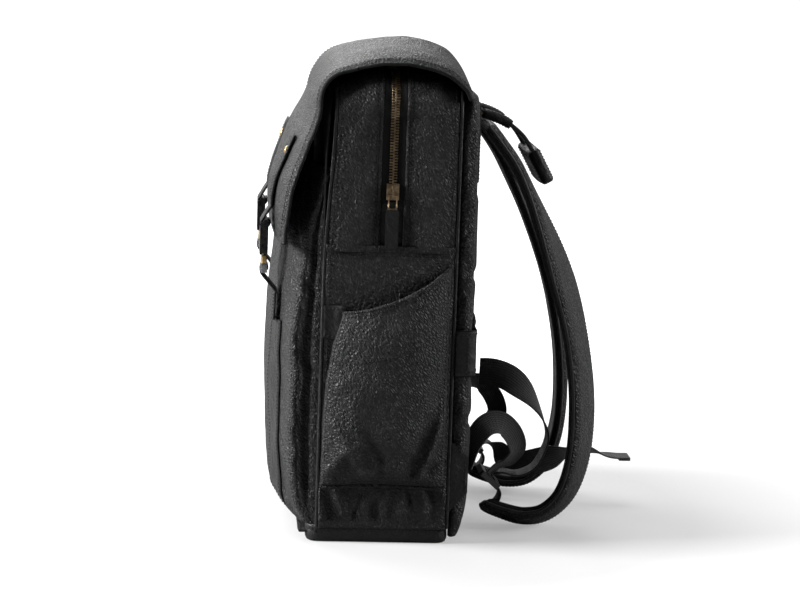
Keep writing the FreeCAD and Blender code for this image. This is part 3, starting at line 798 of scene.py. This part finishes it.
def pad_y(x, z):
    """The back pad's rear face: crowned cells between sewn channels, thin at the rim and under the yoke."""
    rim = np.minimum(np.minimum(137 - np.abs(x), z - 8), 389 - z)
    corner = np.hypot(np.maximum(np.abs(x) - 111, 0), np.maximum(z - 363, 0))
    rim = np.minimum(rim, np.where((np.abs(x) > 111) & (z > 363), 26 - corner, 1e3))
    rise = np.sqrt(np.clip(1 - (1 - np.clip(rim / 15, 0, 1)) ** 2, 0, 1))
    under_band = smoothstep(z, 140, 148) * (1 - smoothstep(z, 191, 199))
    y = 63.4 + 14.4 * rise + 2.6 * rise * (1 - smoothstep(z, 300, 312)) * (1 - under_band)
    for start, end in PAD_CHANNELS:
        y = y + ridge(x, z, start, end, 4.5, -6.0) * rise
    y = y + rise * (noise(x / 26, z / 30, 41) * 0.7 + noise(x / 9, z / 11, 42) * 0.2)
    return 63.4 + (y - 63.4) * foot_share(z)


def make_back():
    plain_back = plate_surface(144, 399, 25, 14, lambda x, z: 62.4)
    sheet("back_panel_skin", plain_back, 2.2, "leather", (0, 1, 0), "back_panel")

    arch, out = arch_line(141.0, 392.5, 26.0, 6.0, 520)
    at = lengths(arch)
    rows, y = grid(np.arange(520), np.r_[62.8, 63.0, 63.8, np.linspace(65, 75, 7), 76.4, 77.2, 77.4])
    drop = np.interp(y, [62.8, 63, 63.8, 65, 75, 76.4, 77.2, 77.4], [3, 1.2, 0.3, 0, 0, 0.6, 1.8, 3.2])
    s = at[rows]
    foot = 1 - smoothstep(np.minimum(s, at[-1] - s), 0, 22)
    wave = np.sin(PI * np.clip((y - 62.8) / 14.6, 0, 1)) * (2.6 + noise(s / 16, y / 9, 51) * 1.9
                                                            + noise(s / 6, y / 6, 52) * 0.7)
    flat = arch[rows] + out[rows] * (wave - drop - foot * 2.5)[..., None]
    surface = xyz(flat[..., 0], 62.8 + (y - 62.8) * foot_share(flat[..., 1]), flat[..., 1])
    outward = xyz(out[rows][..., 0], 0, out[rows][..., 1])
    sheet("back_gusset_skin", surface, 1.6, "leather", outward, "back_gusset")

    pad = plate_surface(136.5, 388.5, 22, 8.5, pad_y, 120, 170)
    sheet("back_pad_mesh", pad, 1.6, "spacer_mesh", (0, 1, 0), "back_pad")
    lines = []
    for start, end in PAD_CHANNELS:
        x, z = np.linspace(start[0], end[0], 90), np.linspace(start[1], end[1], 90)
        lines.append(facing(xyz(x, pad_y(x, z) + 0.4, z), 0, 1))
    sew("back_pad_thread", lines, "spacer_mesh", pitch=4.2, length=3.2)
    rim = plate_surface(134, 386, 20, 11, pad_y, 60, 90)
    path = np.vstack([rim[:, 0], rim[-1, 1:-1], rim[::-1, -1], rim[0, ::-1][1:-1], rim[:1, 0]])
    tube("back_pad_piping", even(path, 460)[:-1] + (0, 0.6, 0), 1.6, "smooth_leather", closed=True)

    yoke = plate_surface(114, 384, 10, 316, lambda x, z: 81.2 + 0.5 * np.cos(x / 40)
                         + noise(x / 20, z / 18, 61) * 0.3, 60, 40)
    sheet("strap_yoke_patch", yoke, 2.6, "smooth_leather", (0, 1, 0), "strap_yoke")
    normal = surface_normals(yoke, (0, 1.0, 0))
    edges = ((yoke[:, 0], yoke[:, 1], normal[:, 0]), (yoke[-1], yoke[-3], normal[-1]),
             (yoke[:, -1], yoke[:, -2], normal[:, -1]), (yoke[0], yoke[1], normal[0]))
    sew("strap_yoke_thread", [(edge + unit(inner - edge) * 3.4, out) for edge, inner, out in edges],
        "smooth_leather")


def make_luggage_band():
    line = smooth_line([(145.6, 63.5), (145.6, 70.5), (143.6, 78.6), (134.5, 82.4), (100, 83.4), (60, 87.6),
                        (0, 89.4)], 60)
    line = np.vstack([line, (line * (-1, 1))[::-1][1:]])
    rows, z = grid(np.arange(len(line)), np.linspace(150, 189, 14))
    surface = xyz(line[rows][..., 0], line[rows][..., 1] + noise(rows / 7, z / 18, 71) * 0.5, z)
    outward = xyz(np.sign(surface[..., 0]) * 0.4, 1, 0)
    sheet("luggage_band_strip", surface, 2.0, "smooth_leather", outward, "luggage_band")
    normal = surface_normals(surface, outward)
    lines = [(surface[:, j], normal[:, j]) for j in (1, 12)]
    lines += [(surface[i, 1:13], normal[i, 1:13]) for i in (4, len(line) - 5)]
    sew("luggage_band_thread", lines, "smooth_leather")


def make_corner_tabs():
    lines = []
    for name, side in SIDES:
        share, up = grid(np.linspace(0, 1, 9), np.linspace(0, 1, 14))
        low, high = 28 + 18 * share**0.8, 90 - 13 * share**1.4
        y, z = 62.7 + 15.0 * share, low + (high - low) * up
        x = 144.6 - 1.2 * share**2 + noise(y / 5, z / 12, 81) * 0.3
        tab = on_side(xyz(x, y, z), side)
        sheet("corner_tab_" + name, tab, 2.0, "smooth_leather", (side, 0, 0), "corner_tabs")
        lines += [facing(line, side, 0) for line in (tab[:8, 1], tab[:8, 12], tab[7, 1:13])]
    sew("corner_tab_thread", lines, "smooth_leather")


def make_linings():
    wall = plate_surface(143.5, 393, 24, 14, lambda x, z: -55.0 + 2.0 * smoothstep(z, 330, 390)
                         + 2.6 * smoothstep(z, 376, 392) - 1.2 * np.cos(x / 92) * np.sin(z / 130))
    sleeve = plate_surface(133.5, 289.5, 12, 10, lambda x, z: 40.0 - 0.8 * np.cos(x / 85))
    pocket = plate_surface(109.5, 261.5, 8, 100,
                           lambda x, z: -59.0 - 0.7 * np.cos(x / 70) * np.sin((z - 100) / 60))
    sheet("front_wall_skin", wall, 2.4, "suede", (0, -1, 0), "front_wall")
    sheet("laptop_sleeve_cloth", sleeve, 2.2, "lining", (0, -1, 0), "laptop_sleeve")
    sheet("organiser_pocket_cloth", pocket, 1.3, "lining", (0, -1, 0), "organiser_pocket")
    for name, surface in (("laptop_sleeve", sleeve), ("organiser_pocket", pocket)):
        tube(name + "_binding", even(surface[-1] + (0, 0.6, -0.6), 60), 1.7, "webbing")


# ---- front compartment ----
STRAP_X = 86.0
POCKET_LINE = smooth_line([(-71.5, 330), (-79, 300), (-88, 240), (-92, 190), (-92.5, 130), (-91, 75),
                           (-87, 30), (-80, 8)], 160)[::-1]  # (y, z) down the middle


def front_y(x, z, lift=0.0):
    """The front compartment's face: fuller in the middle, with its side edges set back."""
    y = np.interp(z, POCKET_LINE[:, 1], POCKET_LINE[:, 0])
    full = 6.0 * smoothstep(z, -20, 60) * (1 - 0.6 * smoothstep(z, 250, 330))
    back = 12.0 * (np.abs(x) / 110) ** 2.2
    soft = noise(x / 37, z / 44, 91) * 1.3 + noise(x / 15, z / 20, 92) * 0.45
    foot = (1 - smoothstep(z, 20, 70)) * (noise(x / 16, z / 13, 93) * 1.5
                                          + ridge(np.abs(x), z, (120, 10), (96, 52), 6, 2.4))
    beside = smoothstep(np.abs(x), 104, 122) * smoothstep(z, 20, 60)
    down, along = (y * 0 + z + np.abs(x)) * 0.7, (z - np.abs(x)) * 0.7
    gathers = beside * (noise(down / 7, along / 30, 94) * 1.5 + noise(down / 3.6, along / 17, 97) * 0.6)
    return y - full + back - soft - foot - gathers - lift


def front_face(x, z, lift=0.0):
    """The face with its rounded foot drawn back."""
    tuck = 15.0 * (1 - np.sqrt(1 - np.clip((40 - z) / 34, 0, 0.98) ** 2))
    return front_y(x, z, lift) + tuck


def make_front():
    x_line = np.r_[-142.4, -142.2, -141.6, np.linspace(-140, 140, 110), 141.6, 142.2, 142.4]
    curl = np.interp(np.abs(x_line), [140, 141.6, 142.2, 142.4], [0, 0.6, 2.0, 4.0])
    z, x = grid(np.r_[8.0, 8.6, np.linspace(10, 329, 130)], x_line)
    sheet("front_pocket_skin", xyz(x, front_face(x, z) + curl, z), 2.4, "flap_leather", (0, -1, 0),
          "front_pocket_panel")
    lines = []
    for name, side in SIDES:
        z, v = grid(np.linspace(9, 322, 110), np.linspace(0, 1, 22))
        start = front_face(np.full(z.shape, 142.0), z) + 3.2
        y = start + (-54.2 - start) * v
        crease = -3.4 * np.exp(-((v - 0.52) / 0.16) ** 2) * smoothstep(z, 20, 60)
        down, along = (z + y) * 0.7, (z - y) * 0.7
        gathers = noise(down / 6.5, along / 24, 95) * 1.1 + noise(down / 3.2, along / 14, 96) * 0.45
        x = 142.2 + crease + gathers * np.sin(PI * v) + 1.5 * v
        sheet("front_gusset_" + name, on_side(xyz(x, y, z), side), 1.6, "leather", (side, 0, 0),
              "front_pocket_gusset_" + name)
        x, z = np.full(110, 138.6), np.linspace(14, 318, 110)
        lines.append(facing(on_side(xyz(x, front_face(x, z), z), side), 0, -1))
    sew("front_pocket_thread", lines)

    x, y = grid(np.linspace(-139, 139, 40), np.linspace(-68, -61.5, 8))
    sheet("front_floor_skin", xyz(x, y, 7.2), 1.8, "leather", (0, 0, -1), "front_pocket_floor")

    lines = []
    for name, side in SIDES:
        z, x = grid(np.linspace(9, 188, 80), np.linspace(STRAP_X - 20, STRAP_X + 20, 18))
        surface = on_side(xyz(x, front_face(x * side, z, 2.0), z), side)
        sheet("front_strip_" + name, surface, 1.6, "smooth_leather", (0, -1, 0), "front_strips")
        normal = surface_normals(surface, (0, -1.0, 0))
        lines += [(surface[2:, j], normal[2:, j]) for j in (1, 16)] + [(surface[78, 1:17], normal[78, 1:17])]
    sew("front_strip_thread", lines, "smooth_leather")


# ---- side pockets ----
POCKET_FOLDS = (  # from (y, z), to (y, z), width, height
    ((-44, 150), (-14, 92), 5.5, 1.7), ((-38, 130), (4, 76), 6.0, -2.4), ((-46, 112), (-18, 74), 5.0, 2.6),
    ((-30, 84), (-6, 58), 4.0, 1.6), ((57, 156), (30, 64), 7.5, -4.6), ((57, 118), (36, 62), 5.0, 3.4),
    ((57, 92), (40, 60), 4.5, -3.4), ((10, 66), (30, 84), 5.0, 1.4), ((-40, 176), (10, 150), 12.0, -1.2),
    ((-49, 60), (-30, 84), 6.0, 3.4),
)


def pocket_point(u, v):
    """The bottle pocket's outer face: u from its front to its rear seam, v from its bottom to its mouth."""
    mouth = np.interp(u, [0, 0.1, 0.25, 0.52, 0.77, 1], [203, 204.5, 207.5, 216.5, 228.5, 245])
    side = np.sin(PI * np.clip(u, 0, 1))
    bottom = 50.0 + 2.5 * np.sin(PI * u)
    z = bottom + (mouth - bottom) * v
    front = np.interp(z, [46, 112, 143, 178, 204], [-50.5, -50.5, -48.5, -43, -36])
    y = front + (57 - front) * u
    body = 11.0 + 9.5 * smoothstep(v, 0.0, 0.3) - 2.6 * smoothstep(v, 0.75, 1.0)
    foot = np.sqrt(1 - (1 - np.clip(v / 0.075, 0, 1)) ** 2)
    x = 145.9 + np.clip(side, 0, 1) ** 0.55 * body * (1 - 0.18 * u) * foot
    creases = sum(ridge(y, z, *fold) for fold in POCKET_FOLDS)
    soft = (noise(y / 24, z / 30, 101) * 1.1 + noise(y / 10, z / 12, 102) * 0.5
            + noise(y / 4.5, z / 5.5, 103) * 0.18)
    low = (1 - smoothstep(v, 0.1, 0.35)) * noise(y / 7, z / 11, 104) * 1.1
    return xyz(x + side**0.4 * (creases * 1.35 + soft * 1.2 + low * 1.4) * smoothstep(v, 0, 0.09), y, z)


def make_side_pockets():
    u, v = grid(np.linspace(0, 1, 90), np.linspace(0, 1, 130))
    base = pocket_point(u, v)
    thread_rows = [np.argmin(np.abs(v[0] * 158 - (158 - drop))) for drop in (3.2, 47.0)] + [3, 6]
    lines = []
    for name, side in SIDES:
        surface = on_side(base, side)
        sheet("side_pocket_skin_" + name, surface, 2.0, "leather", (side, 0, 0), "side_pocket_" + name)
        normal = surface_normals(surface, (side, 0, 0))
        lines += [(surface[3:87, row], normal[3:87, row]) for row in thread_rows]
        lines += [(surface[i, 4:126], normal[i, 4:126]) for i in (2, 87)]
        tube("pocket_mouth_" + name, surface[:, -1] - (side * 0.9, 0, 0), 1.5, "leather")
        tube("pocket_foot_" + name, surface[:, 0] - (side * 0.5, 0, 1.2), 1.9, "leather")

        share, up = grid(np.linspace(0, 1, 14), np.linspace(0, 1, 14))
        y, z = -51.6 + 18.5 * share, 181 + 28 * up - 2.5 * share * (1 - up)
        x = 146.2 + 2.4 * smoothstep(share, 0.2, 0.9) + noise(y / 6, z / 8, 106) * 0.25
        tab = on_side(xyz(x, y, z), side)
        sheet("pocket_tab_" + name, tab, 1.6, "smooth_leather", (side, 0, 0), "pocket_tabs")
        lines += [facing(tab[1:13, j], side, 0) for j in (1, 12)]
    sew("side_pocket_thread", lines)


# ---- flap ----
# (y, z) from the hinge to the lower edge, along the flap's sides and along its middle
FLAP_EDGE = smooth_line([(71.5, 391.5), (66, 401), (51, 411), (30, 418.5), (8, 421.5), (-19, 419),
                         (-36, 415.5), (-48, 411.5), (-56, 405.5), (-61.5, 397), (-63.5, 387),
                         (-63.8, 376), (-67, 363), (-72, 349), (-79, 329), (-85, 309), (-88.8, 288),
                         (-90.6, 272), (-90.8, 262)], 240)
FLAP_MIDDLE = smooth_line([(72, 395), (68.5, 412), (54, 424.5), (33, 431.5), (6, 433), (-14, 430), (-31, 425),
                           (-43, 418), (-52.5, 407), (-62, 390), (-72, 371), (-82.5, 352), (-90.5, 330),
                           (-97, 311), (-100, 292), (-99.5, 276), (-97, 262.5)], 240)
FLAP_CUT, FLAP_HALF = 92, 147.0  # the row where the front part starts, and half the width
BAR = np.array((-103.5, 274.0))


def flap_row(t, x, lift=0.0):
    """A point of the flap's outer face: t from 0 at the hinge to 1 at the lower edge, x across."""
    stops = np.arange(len(FLAP_EDGE))

    def along(values):
        return np.interp(t * (len(FLAP_EDGE) - 1), stops, values)

    share = np.clip(1 - (np.abs(x) / FLAP_HALF) ** 2, 0, 1) ** 0.8
    y, z = (along(edge) + (along(middle) - along(edge)) * share
            for edge, middle in zip(FLAP_EDGE.T, FLAP_MIDDLE.T))
    on_top = smoothstep(t, 0.04, 0.12) * (1 - smoothstep(t, 0.38, 0.46))
    low = smoothstep(t, 0.5, 0.62) * (1 - smoothstep(t, 0.92, 1.0))
    wave = on_top * (noise(x / 60, t * 9, 111) * 1.5 + 1.1 * np.sin(x / 19 + t * 7))
    wave = wave + low * (noise(x / 52, t * 6, 112) * 1.6) + (on_top + low) * noise(x / 17, t * 26, 113) * 0.4
    stand = wave + lift + -2.0 * smoothstep(np.abs(x), FLAP_HALF - 5, FLAP_HALF) ** 2
    slope = unit(np.gradient(FLAP_EDGE, axis=0))
    slump = 4.0 * smoothstep(-x, 50, 140) * np.exp(-((t - 0.51) / 0.07) ** 2)
    return xyz(x, y + along(slope[:, 1]) * stand + 0.72 * slump,
               z - along(slope[:, 0]) * stand - 0.69 * slump)


def flap_at(z):
    """Where along the flap, from 0 to 1, its front part passes the height z."""
    fall = FLAP_EDGE[FLAP_CUT:, 1]
    return float(np.interp(-z, -fall, np.linspace(FLAP_CUT / (len(FLAP_EDGE) - 1), 1, len(fall))))


def make_flap():
    rows = np.linspace(0, 1, len(FLAP_EDGE))
    whole_t, whole_x = grid(rows, np.linspace(-FLAP_HALF, FLAP_HALF, 120))
    whole = flap_row(whole_t, whole_x)
    outward = xyz(0, whole[..., 1], whole[..., 2] - 330)
    hinge_bend = ("root", "flap_top", (0, 71.5, 391), (0, 66, 404))
    fold_bend = ("flap_top", "flap_front", (0, -44, 412), (0, -64, 384))
    top, front = slice(0, FLAP_CUT + 1), slice(FLAP_CUT, None)
    sheet("flap_top_leather", whole[top], 4.0, "flap_leather", outward[top], "flap_top", cut_row=-1,
          bend=hinge_bend)
    sheet("flap_front_leather", whole[front], 4.0, "flap_leather", outward[front], "flap_front", cut_row=0,
          bend=fold_bend)
    normal = surface_normals(whole, outward)
    upper, lower = [], []
    for side, column in ((-1.0, 2), (1.0, -3)):
        line = flap_row(rows, np.full(rows.shape, side * (FLAP_HALF - 4.0)))
        upper.append((line[3: FLAP_CUT + 1], normal[3: FLAP_CUT + 1, column]))
        lower.append((line[FLAP_CUT: -4], normal[FLAP_CUT: -4, column]))
    across = flap_row(np.full(90, 0.979), np.linspace(-143, 143, 90))
    lower.append((across, normal[-6, np.linspace(2, 117, 90).astype(int)]))
    sew("flap_top_thread", upper, bend=hinge_bend)
    sew("flap_front_thread", lower, bend=fold_bend)


# ---- straps on the front, looped round the buckles' bars ----
def loop_round(centre, radius, start, stop, count=16):
    """(y, z) points on a circle, angles in degrees from +Y towards +Z."""
    turn = np.radians(np.linspace(start, stop, count))
    return np.stack([centre[0] + radius * np.cos(turn), centre[1] + radius * np.sin(turn)], axis=1)


def yz_line(points, x):
    points = np.asarray(points, float)
    return xyz(x, points[:, 0], points[:, 1])


def forward_normals(line, index):
    """The line's normals, turned so that the one at index points to the front."""
    normal = frames(line)[1]
    return -normal if normal[index, 1] > 0 else normal


def make_front_straps():
    fine = {"slot_name": "smooth_leather", "pitch": 3.0, "length": 2.2, "radius": 0.32}
    on_body = {"body": "flap_front"}
    for name, side in SIDES:
        x = side * STRAP_X
        on_flap = flap_row(np.linspace(flap_at(347), flap_at(287), 26), np.full(26, x), 1.5)[:, 1:]
        path = np.vstack([on_flap, on_flap[-1:] + (-2.4, -3.6), loop_round(BAR, 3.5, 155, 395, 18)])
        line = yz_line(smooth_line(path, 90), x)
        strap("flap_strap_leather_" + name, line, 25.5, 2.3, "smooth_leather", "flap_strap_" + name,
              corner=0.7, **on_body)
        normal = forward_normals(line, 10)
        lines = [(line[3:58] + normal[3:58] * 1.2 + (s * 10.2, 0, 0), normal[3:58]) for s in (-1, 1)]
        across = xyz(np.linspace(-10, 10, 12), 0, 0)
        lines += [(line[i] + normal[i] * 1.2 + across, np.tile(normal[i], (12, 1))) for i in (3, 54)]
        sew("flap_strap_thread_" + name, lines, **fine, **on_body)
        at, out, along = line[14] + normal[14] * 1.0, normal[14], frames(line)[0][14]
        rings = [[at + out * h + r * (math.cos(a) * along + math.sin(a) * np.array((1.0, 0, 0)))
                  for a in np.arange(20) * PI / 10]
                 for h, r in ((-1, 3.6), (0.5, 3.6), (1.1, 3.1), (1.6, 2.2), (1.8, 1.0))]
        loft("flap_rivet_" + name, np.array(rings), "brass", "flap_rivets", **on_body)

        z = np.linspace(214, 188, 12)
        path = np.vstack([loop_round(BAR - (0, 40.2), 2.7, -30, 188, 14), [(-105.6, 228.5)],
                          np.column_stack([front_y(np.full(12, x), z, 3.6), z])])
        line = yz_line(smooth_line(path, 70), x)
        strap("lower_strap_leather_" + name, line, 25.0, 2.1, "smooth_leather", "lower_straps", corner=0.7)
        normal = forward_normals(line, 50)
        lines = [(line[34:68] + normal[34:68] * 1.1 + (s * 9.8, 0, 0), normal[34:68]) for s in (-1, 1)]
        sew("lower_strap_thread_" + name, lines, **fine)


# ---- grab handle ----
def make_handle():
    threads = []
    on_body = {"body": "handle"}
    for name, side in SIDES:
        x = side * 37.0
        loop = yz_line(loop_round((86.5, 371.0), 3.3, 150, -165, 24), x)
        strap("handle_loop_" + name, loop, 17.5, 2.2, "webbing", "handle_legs", **on_body)
        sleeve = smooth_line(yz_line([(90.5, 370.2), (98, 368.3), (107, 365), (114.5, 361)], x), 26)
        thick = 8.2 + 0.5 * np.sin(np.linspace(0, PI, 26))
        strap("handle_sleeve_" + name, sleeve, 20.5, thick, "smooth_leather", corner=3.4, **on_body)
        leg = [(108, 364.5), (117, 359.5), (126.5, 351), (133.5, 341), (137.5, 334)]
        leg = smooth_line(yz_line(leg, x), 40)
        strap("handle_webbing_" + name, leg, 17.5, 3.4, "webbing", corner=0.9, **on_body)
        normal = frames(sleeve)[1][1:-1]
        threads += [(sleeve[1:-1] + normal * 4.15 * s + (a, 0, 0), normal * s)
                    for s in (-1, 1) for a in (-7.4, 7.4)]
    turn = math.radians(28.5)
    deep, high = np.array((0, math.cos(turn), math.sin(turn))), np.array((0, -math.sin(turn), math.cos(turn)))
    centre = np.array((0, 142.8, 324.5))

    def swell(x):
        return 1 - (x / 47) ** 2

    rings = []
    for x in np.r_[-47, -46.7, -45.8, -44, np.linspace(-42, 42, 30), 44, 45.8, 46.7, 47]:
        end = np.interp(abs(x), [42, 44, 45.8, 46.7, 47], [0, 0.3, 1.3, 2.6, 4.2])
        outline = rounded_outline(16.6 - end * 0.6, 5.6 + 0.5 * swell(x) - end, 3.2 if end < 2 else 1.2, 5)
        wobble = noise(x / 16, 0.0, 121) * 0.3
        rings.append([centre + (x, 0, 0) + high * (a - 1.6 * swell(x)) + deep * (b + wobble)
                      for a, b in outline])
    loft("handle_grip_leather", np.array(rings), "smooth_leather", "handle_grip", **on_body)
    around = even(np.array([(-1, -1), (1, -1), (1, 1), (-1, 1), (-1, -1)]) * (43.6, 13.4), 120)
    x = around[:, 0]
    for face in (-1, 1):
        points = centre + np.outer(x, (1, 0, 0)) + np.outer(around[:, 1] - 1.6 * swell(x), high) \
            + np.outer((5.6 + 0.5 * swell(x)) * face, deep)
        threads.append((points, np.tile(deep * face, (120, 1))))
    sew("handle_thread", threads, "smooth_leather", 3.0, 2.2, 0.34, **on_body)


# ---- shoulder straps ----
SHOULDER_ROUTE = [(88.5, 365, 60), (99, 352, 60), (119, 324, 60), (142, 278, 60), (161, 231, 60),
                  (175, 184, 58), (183, 138, 56), (185.5, 96, 54), (182.5, 60, 50), (173, 32, 46),
                  (156, 15, 42), (136, 11, 38), (116, 15.5, 34), (99, 22, 30)]  # y, z and width
ANCHOR_ROUTE = [(113, 79.5, 62), (111, 84, 82), (107, 95, 98), (102, 109, 101), (97, 121, 91), (93, 127, 76),
                (88, 121, 64), (84, 111, 58), (82, 104, 52)]
TAIL_RIGHT = [(67, 106, 49), (66, 116, 50), (66, 130, 48), (65, 144, 54), (61, 153, 67), (57, 157, 81),
              (52, 154, 94), (48, 146, 108), (45, 135, 121), (43, 122, 131), (42, 108, 136), (41, 95, 136.5)]
TAIL_LEFT = [(-67, 106, 49), (-66, 116, 49), (-60, 126, 42), (-50, 136, 34), (-41, 147, 34), (-36, 160, 38),
             (-34, 175, 43), (-34, 191, 48), (-34, 207, 50), (-34, 222, 46.5), (-34, 236, 45), (-34, 247, 45)]
LOCK_LINK = [  # y and z
    (106, 20), (112, 27), (113.5, 34), (110.5, 39.5), (106.5, 42.5),
]


def make_shoulder_straps():
    stations = smooth_line([(80 - 2 * i / 12, y, z, w) for i, (y, z, w) in enumerate(SHOULDER_ROUTE)], 230)
    for name, side in SIDES:
        line, width = on_side(stations[:, :3], side), stations[:, 3]
        _, inner, wide = frames(line)
        at = np.linspace(0, line_length(line), len(line))
        twist = 1.0 if side > 0 else -0.15
        turn = twist * (smoothstep(at, 30, 170) * 20 + smoothstep(at, 190, 330) * 5
                        - smoothstep(at, 370, 440) * 8)
        turn = np.radians(turn)[:, None]
        inner, wide = (inner * np.cos(turn) - wide * side * np.sin(turn),
                       wide * np.cos(turn) + inner * side * np.sin(turn))
        end = np.minimum(at, at[-1] - at)
        close = np.sqrt(np.clip(1 - (1 - np.clip(end / 7, 0, 1)) ** 2, 0, 1))
        bend = ("root", "shoulder_" + name, (side * 80, 90, 371), (side * 80, 101, 349))

        rings = []
        for i in range(len(line)):
            half = width[i] / 2 - 1.0
            quilt = 0.5 * math.cos(at[i] / 11.0) + 0.5 * float(noise(at[i] / 14, side * 3.0, 131))
            ring = []
            for a, b in rounded_outline(1.0, 1.0, 0.28, 5):
                crown = 1.5 * (1 - a * a) + quilt * (1 - abs(a))
                groove = 1.3 * math.exp(-((abs(a) - 0.72) / 0.07) ** 2)
                up = 1.2 + (4.6 + crown - groove) * b if b > 0 else 1.2 + 2.4 * b
                ring.append(line[i] + wide[i] * (a * half) + inner[i] * up * (0.25 + 0.75 * close[i]))
            rings.append(ring)
        pad = loft("shoulder_mesh_" + name, np.array(rings), "spacer_mesh", "shoulder_strap_" + name,
                   bend=bend)

        i, share = grid(np.arange(len(line)),
                        np.r_[-1, -0.985, -0.95, np.linspace(-0.9, 0.9, 15), 0.95, 0.985, 1])
        edge = 3.2 * np.clip((np.abs(share) - 0.86) / 0.14, 0, 1) ** 2.2
        crown = 1.4 * (1 - share**2) + noise(at[i] / 21, share * 2 + side, 133) * 0.35
        dip = 0.7 * np.exp(-((np.abs(share) - 0.84) / 0.05) ** 2)
        level = (4.6 + crown - edge - dip) * (0.35 + 0.65 * close[i])
        surface = line[i] + wide[i] * (share * (width[i] / 2))[..., None] - inner[i] * level[..., None]
        face = sheet("shoulder_face_" + name, surface, 2.6, "leather", -inner[i], bend=bend)

        depth = (4.6 + 1.4 * (1 - 0.84**2) - 0.7) * (0.35 + 0.65 * close)
        lines = [((line + wide * (width / 2 * 0.84 * s)[:, None] - inner * (depth + 0.25)[:, None])[4:-4],
                  -inner[4:-4]) for s in (-1, 1)]
        sew("shoulder_thread_" + name, lines, bend=bend)
        for tag, s in (("a", -1), ("b", 1)):
            path = line + wide * (width / 2 * s - 0.3 * s)[:, None] + inner * 0.2
            tube(f"shoulder_piping_{name}_{tag}", path, 1.5, "webbing", bend=bend)
        make_webbing(name, side, "shoulder_" + name)


def make_webbing(name, side, body):
    anchor = smooth_line([on_side(p, side) for p in ANCHOR_ROUTE], 130)
    lean = (np.sin(PI * np.linspace(0.12, 0.85, 130)) * 0.75)[:, None]
    normal = unit(frames(anchor)[1] * np.sqrt(1 - lean**2) - np.array((side, 0, 0)) * lean)
    strap("anchor_strap_" + name, anchor, 24.5, 1.7, "webbing", "anchor_webbing_" + name, normal=normal,
          bend=("root", body, (side * 112, 79.5, 62), (side * 95, 110, 62)))

    tail = smooth_line(TAIL_RIGHT if side > 0 else TAIL_LEFT, 170)
    flat = frames(tail)[1]
    share = np.linspace(0, 1, 170)
    if side > 0:
        upright = np.tile((1.0, 0, 0), (170, 1))
        turn = smoothstep(share, 0.45, 0.97)[:, None]
    else:
        upright = unit(np.cross(np.gradient(tail, axis=0), (0, 0, 1.0)))
        turn = (smoothstep(share, 0.06, 0.2) * (1 - 0.65 * smoothstep(share, 0.45, 0.66))
                * (1 - smoothstep(share, 0.72, 0.9)))[:, None]
    upright *= np.where((upright * flat).sum(axis=1).mean() < 0, -1.0, 1.0)
    normal = unit(flat * (1 - turn) + upright * turn)
    strap("loose_strap_" + name, tail, 24.5, 1.6, "webbing", "webbing_tail_" + name, normal=normal, body=body)
    doubled = max(4, int(12 / (line_length(tail) / (len(tail) - 1))))  # points in the folded last 12 mm
    strap("loose_strap_end_" + name, tail[-doubled:] + normal[-doubled:] * 1.5, 24.6, 1.5, "webbing",
          normal=normal[-doubled:], body=body)
    strap("lock_strap_" + name, smooth_line(yz_line(LOCK_LINK, side * 78), 30), 24, 1.8, "webbing", body=body)


# ---- CAD nodes that stay: name, finish and bevel in millimetres; {} stands for the side ----
KEPT = (("base_board", "board", 0.5), ("back_board", "board", 0.5))
KEPT_ON_SIDES = (
    ("zip_slider_{}", "zip_brass", 0.3), ("zip_bail_{}", "zip_brass", 0),
    ("zip_pull_{}", "smooth_leather", 0.5),
    ("buckle_housing_{}", "black_metal", 0.5), ("buckle_tongue_{}", "steel", 0.5),
    ("buckle_clip_{}_outer", "brass", 0.35), ("buckle_clip_{}_inner", "brass", 0.35),
    ("ladder_lock_{}", "black_plastic", 0.6),
)
KEPT_LAST = (("buckle_lower_bars", "steel", 0), ("handle_rings", "brass", 0))


def keep_node(name, finish, bevel):
    node = NODES[name]
    node.data.materials.clear()
    node.data.materials.append(MATS[finish])
    weld = node.modifiers.new("weld", "WELD")
    weld.merge_threshold = 0.00002
    if bevel:
        rounding = node.modifiers.new("rounding", "BEVEL")
        rounding.width = bevel * MM
        rounding.segments = 3
        rounding.limit_method = "ANGLE"
        rounding.angle_limit = math.radians(28)


def make_kept_nodes():
    for row in KEPT:
        keep_node(*row)
    for side, _ in SIDES:
        for name, finish, bevel in KEPT_ON_SIDES:
            keep_node(name.format(side), finish, bevel)
    for row in KEPT_LAST:
        keep_node(*row)


make_upper()
make_zip()
make_lower()
make_base()
make_back()
make_luggage_band()
make_corner_tabs()
make_linings()
make_front()
make_side_pockets()
make_flap()
make_front_straps()
make_handle()
make_shoulder_straps()
make_kept_nodes()
